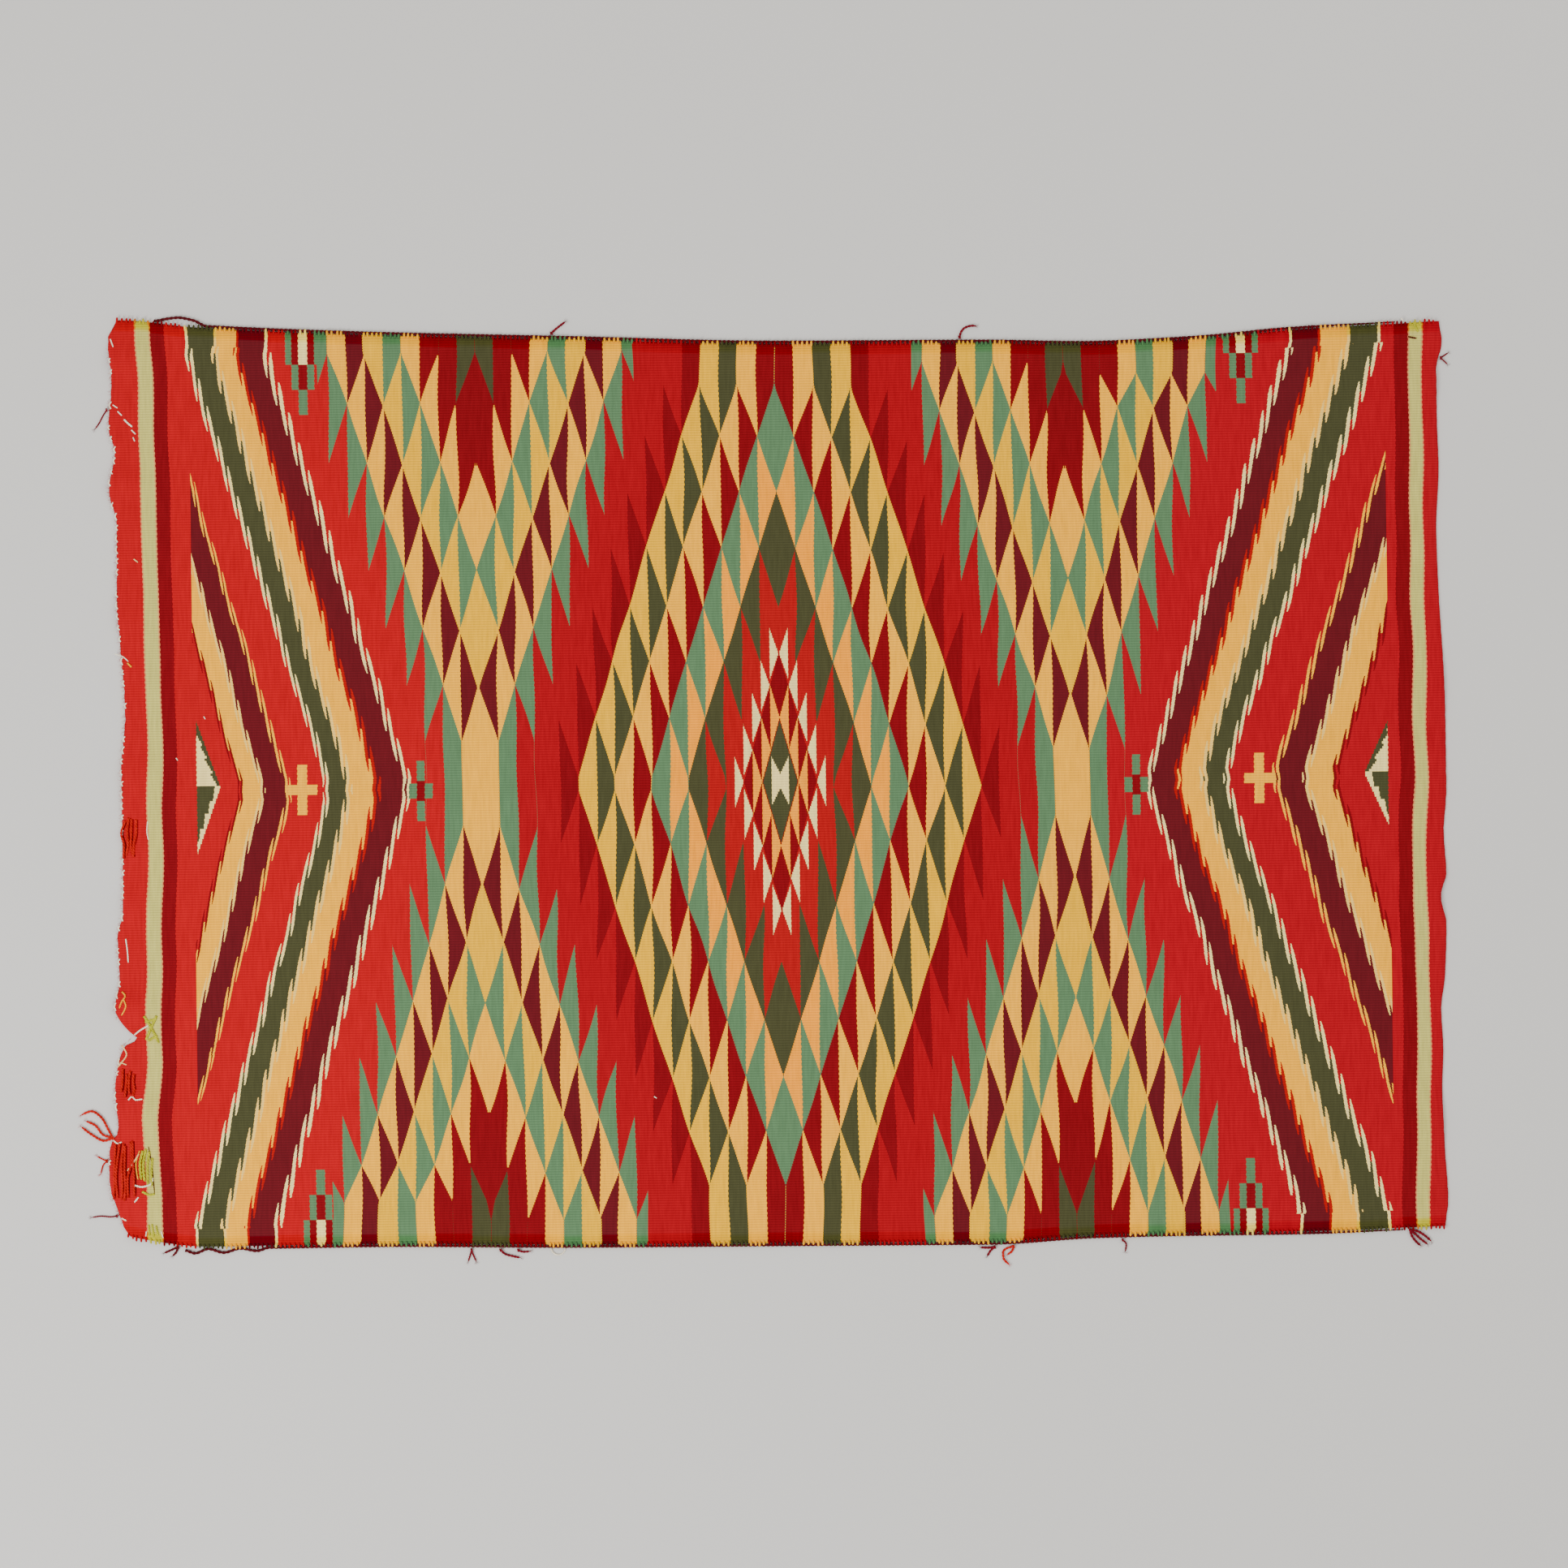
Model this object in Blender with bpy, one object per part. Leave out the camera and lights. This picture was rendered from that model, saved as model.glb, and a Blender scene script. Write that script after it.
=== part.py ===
"""A small wool blanket of tapestry weave, laid out flat on the floor.

Metres, +Z up. The warps run along X, the wefts along Y, and the floor is z = 0.
The weave is one thin sheet. Its outline is as uneven as the worn blanket's, and a few low
folds lift it off the floor. A twined cord binds each long edge, and loose cord and yarn ends
lie round it, each held by a knot of its own.
Colours belong to the weave and aren't raised, so every piece has one plain material here.
"""

import math

import bmesh
import bpy
import numpy as np

# Driving sizes
SHEET_THICK = 0.0024
CORD_WIDE = 0.0030
PIECE_GAP = 0.0003
WEAVE_MIDDLE = np.array([0.0181, 0.0013])
HALF_HEIGHT = 0.4390
FLOOR_CUT = 0.0004

# Where the two long edges lie. Columns: along the blanket, top edge, bottom edge.
LONG_EDGES = [
    (-0.650, 0.4560, -0.4170),
    (-0.630, 0.4560, -0.4250),
    (-0.555, 0.4480, -0.4355),
    (-0.400, 0.4395, -0.4350),
    (-0.200, 0.4325, -0.4380),
    (0.000, 0.4255, -0.4390),
    (0.200, 0.4240, -0.4400),
    (0.300, 0.4215, -0.4350),
    (0.400, 0.4250, -0.4340),
    (0.500, 0.4330, -0.4340),
    (0.600, 0.4375, -0.4315),
    (0.640, 0.4395, -0.4305),
]

# The worn left end, which has lost its cord. Columns: height on the blanket, place of the edge.
LEFT_END = [
    (0.456, -0.6340),
    (0.438, -0.6420),
    (0.400, -0.6390),
    (0.352, -0.6425),
    (0.330, -0.6370),
    (0.290, -0.6425),
    (0.262, -0.6360),
    (0.190, -0.6365),
    (0.160, -0.6350),
    (0.079, -0.6300),
    (0.025, -0.6340),
    (-0.052, -0.6340),
    (-0.110, -0.6340),
    (-0.137, -0.6400),
    (-0.180, -0.6385),
    (-0.208, -0.6430),
    (-0.222, -0.6330),
    (-0.230, -0.6220),
    (-0.238, -0.6330),
    (-0.252, -0.6390),
    (-0.285, -0.6440),
    (-0.320, -0.6410),
    (-0.345, -0.6500),
    (-0.382, -0.6495),
    (-0.400, -0.6430),
    (-0.414, -0.6370),
    (-0.425, -0.6260),
    (-0.440, -0.6150),
]

# The right end, softly scalloped. Columns: height on the blanket, place of the edge.
RIGHT_END = [
    (0.440, 0.6385),
    (0.420, 0.6410),
    (0.393, 0.6350),
    (0.340, 0.6355),
    (0.300, 0.6365),
    (0.240, 0.6335),
    (0.180, 0.6350),
    (0.110, 0.6385),
    (0.045, 0.6400),
    (-0.010, 0.6400),
    (-0.052, 0.6370),
    (-0.090, 0.6390),
    (-0.113, 0.6330),
    (-0.140, 0.6385),
    (-0.190, 0.6365),
    (-0.222, 0.6325),
    (-0.260, 0.6340),
    (-0.300, 0.6325),
    (-0.350, 0.6340),
    (-0.405, 0.6370),
    (-0.425, 0.6345),
    (-0.440, 0.6330),
]

# Low folds in the cloth as it lies.
# Columns: along, across, half-length, half-width, turn in degrees from X, height.
FOLDS = [
    (0.000, -0.008, 0.700, 0.014, 0.6, 0.0022),
    (-0.628, 0.420, 0.034, 0.016, 8, 0.0042),
    (-0.632, 0.300, 0.030, 0.014, -10, 0.0038),
    (-0.630, 0.175, 0.028, 0.018, 6, 0.0030),
    (-0.628, 0.020, 0.026, 0.020, -4, 0.0028),
    (-0.632, -0.105, 0.030, 0.016, 10, 0.0034),
    (-0.634, -0.200, 0.030, 0.013, -12, 0.0052),
    (-0.636, -0.300, 0.034, 0.015, 6, 0.0040),
    (-0.640, -0.365, 0.040, 0.016, -8, 0.0050),
    (-0.606, -0.405, 0.030, 0.018, 35, 0.0040),
    (-0.560, -0.300, 0.020, 0.110, 4, 0.0016),
    (0.628, 0.380, 0.026, 0.020, 6, 0.0030),
    (0.630, 0.090, 0.024, 0.030, 0, 0.0024),
    (0.630, -0.110, 0.022, 0.022, -8, 0.0030),
    (0.626, -0.330, 0.024, 0.026, 5, 0.0024),
    (-0.330, -0.400, 0.020, 0.045, 12, 0.0014),
    (0.240, 0.395, 0.022, 0.040, -8, 0.0014),
]

# Stations of the sheet's grid, counted from each end, then evenly between.
LEFT_STEPS = (0.0, 0.006, 0.014, 0.023, 0.033, 0.046)
RIGHT_STEPS = (0.040, 0.024, 0.010, 0.0)
MIDDLE_COLUMNS = 22
EVEN_ROWS = 48
NOTCH_HEIGHTS = (-0.252, -0.238, -0.230, -0.222, -0.208)

# The two edge cords. Columns: along the blanket, how far the cord stands off the weave there.
CORD_SIDES = 8
CORD_STATIONS = 64
TOP_CORD_SLACK = [
    (-0.597, 0.0000),
    (-0.585, 0.0034),
    (-0.571, 0.0062),
    (-0.559, 0.0048),
    (-0.546, 0.0000),
    (0.300, 0.0000),
    (0.597, 0.0000),
]
BOTTOM_CORD_SLACK = [
    (-0.578, 0.0030),
    (-0.569, 0.0050),
    (-0.556, 0.0004),
    (-0.541, 0.0042),
    (-0.525, 0.0004),
    (-0.509, 0.0030),
    (-0.497, 0.0000),
    (0.300, 0.0000),
    (0.594, 0.0000),
]

# Loose ends round the blanket. Columns: node, colour, width of a strand, edge that its knot
# lies against, the knot's place along that edge, and the strands' routes as steps from the knot.
LOOSE_ENDS = [
    ("loose_end_bottom_1", "crimson", 0.0018, "bottom", -0.3028, [
        [(-0.0012, -0.0042), (-0.0034, -0.0112)],
        [(0.0012, -0.0042), (0.0042, -0.0112)],
    ]),
    ("loose_end_bottom_2", "crimson", 0.0024, "bottom", -0.2747, [
        [(0.0035, -0.0036), (0.0117, -0.0062), (0.0181, -0.0076)],
    ]),
    ("loose_end_bottom_3", "crimson", 0.0022, "bottom", -0.2577, [
        [(0.0047, -0.0018), (0.0107, -0.0014)],
    ]),
    ("loose_end_bottom_4", "crimson", 0.0024, "bottom", 0.2000, [
        [(-0.0038, -0.0032), (-0.0072, -0.0086)],
        [(-0.0070, -0.0006), (-0.0134, -0.0002)],
    ]),
    ("loose_end_bottom_5", "scarlet", 0.0024, "bottom", 0.2180, [
        [(-0.0056, -0.0014), (-0.0100, -0.0050), (-0.0098, -0.0106), (-0.0044, -0.0172)],
        [(-0.0010, -0.0040), (-0.0056, -0.0076)],
    ]),
    ("loose_end_bottom_6", "crimson", 0.0018, "bottom", 0.3232, [
        [(0.0034, -0.0044), (0.0024, -0.0108)],
    ]),
    ("loose_end_top_1", "crimson", 0.0024, "top", -0.2150, [
        [(0.0040, 0.0038), (0.0130, 0.0106)],
    ]),
    ("loose_end_top_2", "crimson", 0.0024, "top", 0.1772, [
        [(0.0014, 0.0048), (0.0058, 0.0094), (0.0128, 0.0110), (0.0162, 0.0104)],
    ]),
    ("corner_tassel_lower_right", "crimson", 0.0026, "bottom", 0.5995, [
        [(0.0050, -0.0008), (0.0125, -0.0046), (0.0201, -0.0112)],
        [(0.0046, -0.0038), (0.0100, -0.0090), (0.0164, -0.0140)],
        [(0.0012, -0.0048), (0.0054, -0.0112), (0.0100, -0.0154)],
    ]),
    ("corner_yarn_lower_left", "maroon", 0.0024, "bottom", -0.5850, [
        [(-0.0052, -0.0024), (-0.0130, -0.0056)],
        [(-0.0014, -0.0044), (-0.0050, -0.0084)],
    ]),
    ("yarn_bundle_left", "scarlet", 0.0026, "left", -0.3300, [
        [(-0.0040, 0.0075), (-0.0110, 0.0200), (-0.0205, 0.0260), (-0.0300, 0.0225)],
        [(-0.0090, 0.0030), (-0.0170, 0.0125), (-0.0255, 0.0165)],
        [(-0.0085, -0.0025), (-0.0195, 0.0030), (-0.0300, 0.0110)],
    ]),
    ("yarn_fray_left_1", "scarlet", 0.0016, "left", -0.3520, [
        [(-0.0040, -0.0040), (-0.0062, -0.0120)],
        [(-0.0042, 0.0016), (-0.0094, 0.0044)],
    ]),
    ("yarn_fray_left_2", "crimson", 0.0016, "left", -0.4050, [
        [(-0.0062, -0.0008), (-0.0152, 0.0000), (-0.0242, -0.0012)],
    ]),
    ("yarn_fray_left_3", "crimson", 0.0016, "left", 0.3700, [
        [(-0.0034, -0.0050), (-0.0078, -0.0130), (-0.0114, -0.0180)],
    ]),
    ("yarn_fray_right", "crimson", 0.0016, "right", 0.4040, [
        [(0.0035, 0.0022), (0.0071, 0.0046)],
        [(0.0031, -0.0026), (0.0065, -0.0060)],
    ]),
]
KNOT_HALF = 0.0018
KNOT_RISE = 0.62
KNOT_CLEAR_OF_FLOOR = 0.0002
ROOT_STEP = 0.0004
STRAND_SIDES = 4
STRAND_STEP = 0.0045
TIP_SHARE = 0.55

# A white cotton warp that has slipped out of the bottom edge and bows below it.
WARP_LOOP_WIDE = 0.0016
WARP_LOOP_PLACE = -0.2196
WARP_LOOP_HALF = 0.0066
WARP_LOOP_DROP = 0.0062
WARP_LOOP_STATIONS = 11

# Plain colours. Columns: red, green, blue, each linear.
COLOURS = {
    "scarlet": (0.56, 0.030, 0.018),
    "crimson": (0.34, 0.012, 0.018),
    "maroon": (0.16, 0.010, 0.014),
    "cotton": (0.72, 0.64, 0.48),
}
WOOL_ROUGHNESS = 0.9


def clear_scene():
    for thing in list(bpy.data.objects):
        bpy.data.objects.remove(thing, do_unlink=True)


def wool(colour):
    """A plain matt material in one of the colours, made once and then shared."""
    name = "wool_" + colour
    found = bpy.data.materials.get(name)
    if found:
        return found
    material = bpy.data.materials.new(name)
    material.use_nodes = True
    shader = material.node_tree.nodes["Principled BSDF"]
    shader.inputs["Base Color"].default_value = (*COLOURS[colour], 1.0)
    shader.inputs["Roughness"].default_value = WOOL_ROUGHNESS
    shader.inputs["Metallic"].default_value = 0.0
    return material


def add_object(name, points, faces, colour):
    """A named object from points on the weave's own axes, moved to the part's frame."""
    placed = np.array(points, float)
    placed[:, :2] += WEAVE_MIDDLE
    mesh = bpy.data.meshes.new(name)
    mesh.from_pydata([tuple(p) for p in placed], [], faces)
    made = bpy.data.objects.new(name, mesh)
    bpy.context.scene.collection.objects.link(made)
    made.data.materials.append(wool(colour))
    return made


def turn_outwards(made):
    """Turns every face of a closed mesh outwards."""
    shape = bmesh.new()
    shape.from_mesh(made.data)
    bmesh.ops.recalc_face_normals(shape, faces=shape.faces)
    shape.to_mesh(made.data)
    shape.free()


def smooth_curve(rows):
    """A function through the rows (place, value) that never swings past them.

    It is the cubic with these values, and at each row the harmonic mean of the two slopes
    beside it, or level where the slopes turn.
    """
    place, value = np.array(sorted(rows), float).T
    slope = np.diff(value) / np.diff(place)
    before, after = slope[:-1], slope[1:]
    level = before * after <= 0
    total = np.where(level, 1.0, before + after)
    tangent = np.zeros(len(place))
    tangent[1:-1] = np.where(level, 0.0, 2 * before * after / total)

    def at(where):
        where = np.asarray(where, float)
        i = np.clip(np.searchsorted(place, where) - 1, 0, len(place) - 2)
        width = place[i + 1] - place[i]
        s = np.clip((where - place[i]) / width, 0, 1)
        start = value[i] * (1 + 2 * s) * (1 - s) ** 2 + tangent[i] * width * s * (1 - s) ** 2
        end = value[i + 1] * s * s * (3 - 2 * s) - tangent[i + 1] * width * s * s * (1 - s)
        return start + end

    return at


def lift(along, across):
    """How far the cloth's underside stands off the floor: the folds' bell curves, cut at 0."""
    height = np.zeros(np.broadcast(along, across).shape)
    for middle_x, middle_y, half_length, half_width, turn, rise in FOLDS:
        angle = math.radians(turn)
        dx, dy = along - middle_x, across - middle_y
        lengthwise = (dx * math.cos(angle) + dy * math.sin(angle)) / half_length
        sideways = (dy * math.cos(angle) - dx * math.sin(angle)) / half_width
        height = height + rise * np.exp(-(lengthwise**2) - sideways**2)
    return np.maximum(height - FLOOR_CUT, 0.0)


def weave_grid():
    """Places of the sheet's grid: rows from the bottom edge to the top, columns left to right."""
    top = smooth_curve([(along, high) for along, high, low in LONG_EDGES])
    bottom = smooth_curve([(along, low) for along, high, low in LONG_EDGES])
    even = np.linspace(-HALF_HEIGHT, HALF_HEIGHT, EVEN_ROWS)
    heights = np.unique(np.concatenate([even, NOTCH_HEIGHTS]))
    left = smooth_curve(LEFT_END)(heights)[:, None]
    right = smooth_curve(RIGHT_END)(heights)[:, None]
    share = np.linspace(0, 1, MIDDLE_COLUMNS + 2)[1:-1]
    from_left = left + np.array(LEFT_STEPS)
    from_right = right - np.array(RIGHT_STEPS)
    between = from_left[:, -1:] + (from_right[:, :1] - from_left[:, -1:]) * share
    along = np.concatenate([from_left, between, from_right], axis=1)
    part_way = (heights[:, None] + HALF_HEIGHT) / (2 * HALF_HEIGHT)
    across = bottom(along) + (top(along) - bottom(along)) * part_way
    return along, across


def make_cloth(along, across):
    """The blanket itself: a grid for the face, the same grid below, and a wall round the edge."""
    rows, columns = along.shape
    under = np.stack([along, across, lift(along, across)], axis=2).reshape(-1, 3)
    face = under + np.array([0.0, 0.0, SHEET_THICK])
    count = rows * columns

    def index(row, column):
        return row * columns + column

    faces = []
    for r in range(rows - 1):
        for c in range(columns - 1):
            ring = [index(r, c), index(r, c + 1), index(r + 1, c + 1), index(r + 1, c)]
            faces.append([i + count for i in ring])
            faces.append(ring[::-1])
    rim = [index(0, c) for c in range(columns - 1)]
    rim += [index(r, columns - 1) for r in range(rows - 1)]
    rim += [index(rows - 1, c) for c in range(columns - 1, 0, -1)]
    rim += [index(r, 0) for r in range(rows - 1, 0, -1)]
    for here, there in zip(rim, rim[1:] + rim[:1]):
        faces.append([here, there, there + count, here + count])
    return add_object("blanket_cloth", np.concatenate([under, face]), faces, "scarlet")


def tube(route, width, sides, tip=1.0):
    """Points and faces of a closed tube along a level route, with a flat side underneath.

    The section is a regular polygon. route holds its lowest point at each station, and tip
    is the last ring's share of the width.
    """
    route = np.array(route, float)
    ahead = np.gradient(route, axis=0)
    ahead[:, 2] = 0
    ahead /= np.linalg.norm(ahead, axis=1)[:, None]
    side = np.stack([ahead[:, 1], -ahead[:, 0], np.zeros(len(route))], axis=1)
    share = np.ones(len(route))
    share[-1] = tip
    angle = (np.arange(sides) + 0.5) * 2 * math.pi / sides
    reach = width / 2 / math.cos(math.pi / sides)
    flat = np.cos(angle) * reach
    rise = np.sin(angle) * reach + width / 2
    points = (
        route[:, None]
        + side[:, None] * (share[:, None] * flat)[..., None]
        + np.array([0.0, 0.0, 1.0]) * (share[:, None] * rise)[..., None]
    ).reshape(-1, 3)
    faces = [list(range(sides))[::-1]]
    for r in range(len(route) - 1):
        for k in range(sides):
            here, beside = r * sides + k, r * sides + (k + 1) % sides
            faces.append([here, beside, beside + sides, here + sides])
    faces.append([(len(route) - 1) * sides + k for k in range(sides)])
    return points, faces


def make_edge_cord(name, edge, outward, slack):
    """A twined cord beside one long edge: it keeps the piece gap, and its slack, off the weave."""
    stand_off = smooth_curve(slack)
    along = np.linspace(slack[0][0], slack[-1][0], CORD_STATIONS)
    across = edge(along) + outward * (PIECE_GAP + CORD_WIDE / 2 + stand_off(along))
    floor = np.where(stand_off(along) > PIECE_GAP, 0.0, lift(along, across))
    route = np.stack([along, across, floor], axis=1)
    made = add_object(name, *tube(route, CORD_WIDE, CORD_SIDES), "maroon")
    turn_outwards(made)


def knot_place(edges, side, place):
    """Where a knot lies: the piece gap clear of its end of the weave, or of the edge cord."""
    slack = {"top": TOP_CORD_SLACK, "bottom": BOTTOM_CORD_SLACK}.get(side)
    clear = PIECE_GAP + KNOT_HALF
    if slack and slack[0][0] < place < slack[-1][0]:
        clear += PIECE_GAP + CORD_WIDE + float(smooth_curve(slack)(place))
    outward = 1 if side in ("top", "right") else -1
    away = float(edges[side](place)) + outward * clear
    return (place, away) if side in ("top", "bottom") else (away, place)


def smooth_route(places):
    """A smooth level line through the places, with a station every few millimetres."""
    places = np.array(places, float)
    steps = np.concatenate([[0], np.cumsum(np.linalg.norm(np.diff(places, axis=0), axis=1))])
    count = max(3, int(round(steps[-1] / STRAND_STEP)) + 1)
    at = np.linspace(0, steps[-1], count)
    line = [smooth_curve(list(zip(steps, places[:, axis])))(at) for axis in range(2)]
    return np.stack([*line, np.zeros(count)], axis=1)


def add_knot(name, place, width, colour):
    """A flattened round knot a little wider than its strands."""
    made = add_object(name, [(0, 0, 0)], [], colour)
    shape = bmesh.new()
    bmesh.ops.create_icosphere(shape, subdivisions=2, radius=1.0)
    middle = np.array(place) + WEAVE_MIDDLE
    for point in shape.verts:
        point.co.x = point.co.x * KNOT_HALF + middle[0]
        point.co.y = point.co.y * KNOT_HALF + middle[1]
        point.co.z = (point.co.z + 1) * width * KNOT_RISE + KNOT_CLEAR_OF_FLOOR
    shape.to_mesh(made.data)
    shape.free()
    return made


def join(made, other):
    """Unites other into made and removes other."""
    union = made.modifiers.new("union", "BOOLEAN")
    union.operation = "UNION"
    union.solver = "EXACT"
    union.object = other
    bpy.context.view_layer.update()
    graph = bpy.context.evaluated_depsgraph_get()
    mesh = bpy.data.meshes.new_from_object(made.evaluated_get(graph))
    made.modifiers.clear()
    made.data = mesh
    bpy.data.objects.remove(other, do_unlink=True)


def make_loose_end(edges, name, colour, width, side, place, routes):
    """Yarn ends that lie on the floor, their roots united with one knot."""
    knot = knot_place(edges, side, place)
    made = add_knot(name, knot, width, colour)
    for number, steps in enumerate(routes, start=1):
        line = smooth_route([knot] + [(knot[0] + x, knot[1] + y) for x, y in steps])
        line[:2, 2] = number * ROOT_STEP, number * ROOT_STEP / 2
        points, faces = tube(line, width, STRAND_SIDES, TIP_SHARE)
        strand = add_object(name + "_strand", points, faces, colour)
        turn_outwards(strand)
        join(made, strand)


def make_warp_loop(edges):
    """The slipped warp: half an ellipse whose two ends meet the edge cord."""
    turn = np.linspace(0, math.pi, WARP_LOOP_STATIONS)
    along = WARP_LOOP_PLACE - WARP_LOOP_HALF * np.cos(turn)
    start = edges["bottom"](along) - CORD_WIDE - 2 * PIECE_GAP
    across = start - WARP_LOOP_DROP * np.sin(turn)
    route = np.stack([along, across, np.zeros(len(turn))], axis=1)
    points, faces = tube(route, WARP_LOOP_WIDE, STRAND_SIDES)
    turn_outwards(add_object("warp_loop_bottom", points, faces, "cotton"))


def edges_of(along, across):
    """The four edges of the weave as functions: top and bottom of x, left and right of y."""
    return {
        "top": lambda x: np.interp(x, along[-1], across[-1]),
        "bottom": lambda x: np.interp(x, along[0], across[0]),
        "left": lambda y: np.interp(y, across[:, 0], along[:, 0]),
        "right": lambda y: np.interp(y, across[:, -1], along[:, -1]),
    }


clear_scene()
grid = weave_grid()
weave_edges = edges_of(*grid)
make_cloth(*grid)
make_edge_cord("selvedge_cord_top", weave_edges["top"], 1, TOP_CORD_SLACK)
make_edge_cord("selvedge_cord_bottom", weave_edges["bottom"], -1, BOTTOM_CORD_SLACK)
for loose_end in LOOSE_ENDS:
    make_loose_end(weave_edges, *loose_end)
make_warp_loop(weave_edges)
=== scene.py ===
"""The looks of a small hand-woven wool blanket, laid out flat on a pale floor.

Metres, +Z up. The warps run along X and the wefts along Y, as in the part's source, and the
design is counted in picks, as a weaver counts it.
"""

import math

import bpy
import numpy as np
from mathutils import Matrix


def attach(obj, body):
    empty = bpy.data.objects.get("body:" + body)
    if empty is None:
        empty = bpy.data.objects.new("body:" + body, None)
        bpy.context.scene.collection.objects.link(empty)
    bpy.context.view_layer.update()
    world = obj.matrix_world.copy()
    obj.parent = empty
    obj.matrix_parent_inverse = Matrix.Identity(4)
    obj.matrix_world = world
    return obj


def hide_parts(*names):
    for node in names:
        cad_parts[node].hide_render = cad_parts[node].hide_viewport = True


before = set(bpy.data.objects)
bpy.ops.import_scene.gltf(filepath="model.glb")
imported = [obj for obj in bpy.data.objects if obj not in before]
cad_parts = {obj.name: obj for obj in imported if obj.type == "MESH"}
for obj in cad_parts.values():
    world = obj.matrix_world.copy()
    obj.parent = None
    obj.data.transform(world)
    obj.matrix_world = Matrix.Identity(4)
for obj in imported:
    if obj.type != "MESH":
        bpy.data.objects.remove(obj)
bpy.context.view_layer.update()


# The weave is one sheet of wool tapestry, 2.4 mm thick, on cotton warps 2.4 mm apart. Its long
# edges bow, its left end is worn ragged, and a few low folds lift it off the floor.
SHEET_THICK = 0.0024
PIECE_GAP = 0.0003
WEAVE_MIDDLE = np.array([0.0181, 0.0013])
HALF_HEIGHT = 0.4390
HALF_LENGTH = 0.6400
FLOOR_CUT = 0.0004

# Columns: along the blanket, top edge, bottom edge.
LONG_EDGES = [
    (-0.650, 0.4560, -0.4170),
    (-0.630, 0.4560, -0.4250),
    (-0.555, 0.4480, -0.4355),
    (-0.400, 0.4395, -0.4350),
    (-0.200, 0.4325, -0.4380),
    (0.000, 0.4255, -0.4390),
    (0.200, 0.4240, -0.4400),
    (0.300, 0.4215, -0.4350),
    (0.400, 0.4250, -0.4340),
    (0.500, 0.4330, -0.4340),
    (0.600, 0.4375, -0.4315),
    (0.640, 0.4395, -0.4305),
]

# Columns: height on the blanket, place of the left end.
LEFT_END = [
    (0.456, -0.6340),
    (0.438, -0.6420),
    (0.400, -0.6390),
    (0.352, -0.6425),
    (0.330, -0.6370),
    (0.290, -0.6425),
    (0.262, -0.6360),
    (0.190, -0.6365),
    (0.160, -0.6350),
    (0.079, -0.6300),
    (0.025, -0.6340),
    (-0.052, -0.6340),
    (-0.110, -0.6340),
    (-0.137, -0.6400),
    (-0.180, -0.6385),
    (-0.208, -0.6430),
    (-0.222, -0.6330),
    (-0.230, -0.6220),
    (-0.238, -0.6330),
    (-0.252, -0.6390),
    (-0.285, -0.6440),
    (-0.320, -0.6410),
    (-0.345, -0.6500),
    (-0.382, -0.6495),
    (-0.400, -0.6430),
    (-0.414, -0.6370),
    (-0.425, -0.6260),
    (-0.440, -0.6150),
]

# Columns: height on the blanket, place of the right end.
RIGHT_END = [
    (0.440, 0.6385),
    (0.420, 0.6410),
    (0.393, 0.6350),
    (0.340, 0.6355),
    (0.300, 0.6365),
    (0.240, 0.6335),
    (0.180, 0.6350),
    (0.110, 0.6385),
    (0.045, 0.6400),
    (-0.010, 0.6400),
    (-0.052, 0.6370),
    (-0.090, 0.6390),
    (-0.113, 0.6330),
    (-0.140, 0.6385),
    (-0.190, 0.6365),
    (-0.222, 0.6325),
    (-0.260, 0.6340),
    (-0.300, 0.6325),
    (-0.350, 0.6340),
    (-0.405, 0.6370),
    (-0.425, 0.6345),
    (-0.440, 0.6330),
]

# Columns: along, across, half-length, half-width, turn in degrees from X, height.
FOLDS = [
    (0.000, -0.008, 0.700, 0.014, 0.6, 0.0022),
    (-0.628, 0.420, 0.034, 0.016, 8, 0.0042),
    (-0.632, 0.300, 0.030, 0.014, -10, 0.0038),
    (-0.630, 0.175, 0.028, 0.018, 6, 0.0030),
    (-0.628, 0.020, 0.026, 0.020, -4, 0.0028),
    (-0.632, -0.105, 0.030, 0.016, 10, 0.0034),
    (-0.634, -0.200, 0.030, 0.013, -12, 0.0052),
    (-0.636, -0.300, 0.034, 0.015, 6, 0.0040),
    (-0.640, -0.365, 0.040, 0.016, -8, 0.0050),
    (-0.606, -0.405, 0.030, 0.018, 35, 0.0040),
    (-0.560, -0.300, 0.020, 0.110, 4, 0.0016),
    (0.628, 0.380, 0.026, 0.020, 6, 0.0030),
    (0.630, 0.090, 0.024, 0.030, 0, 0.0024),
    (0.630, -0.110, 0.022, 0.022, -8, 0.0030),
    (0.626, -0.330, 0.024, 0.026, 5, 0.0024),
    (-0.330, -0.400, 0.020, 0.045, 12, 0.0014),
    (0.240, 0.395, 0.022, 0.040, -8, 0.0014),
]
SHEET_COLUMNS = 281
SHEET_ROWS = 205
NOTCH_HEIGHTS = (-0.258, -0.251, -0.247, -0.243, -0.239, -0.235, -0.228)
EDGE_STEPS = np.array([0.0, 0.0008, 0.0020])
EDGE_RISE = np.array([0.42, 0.86, 1.0])
RIPPLE = 0.00016


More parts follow.
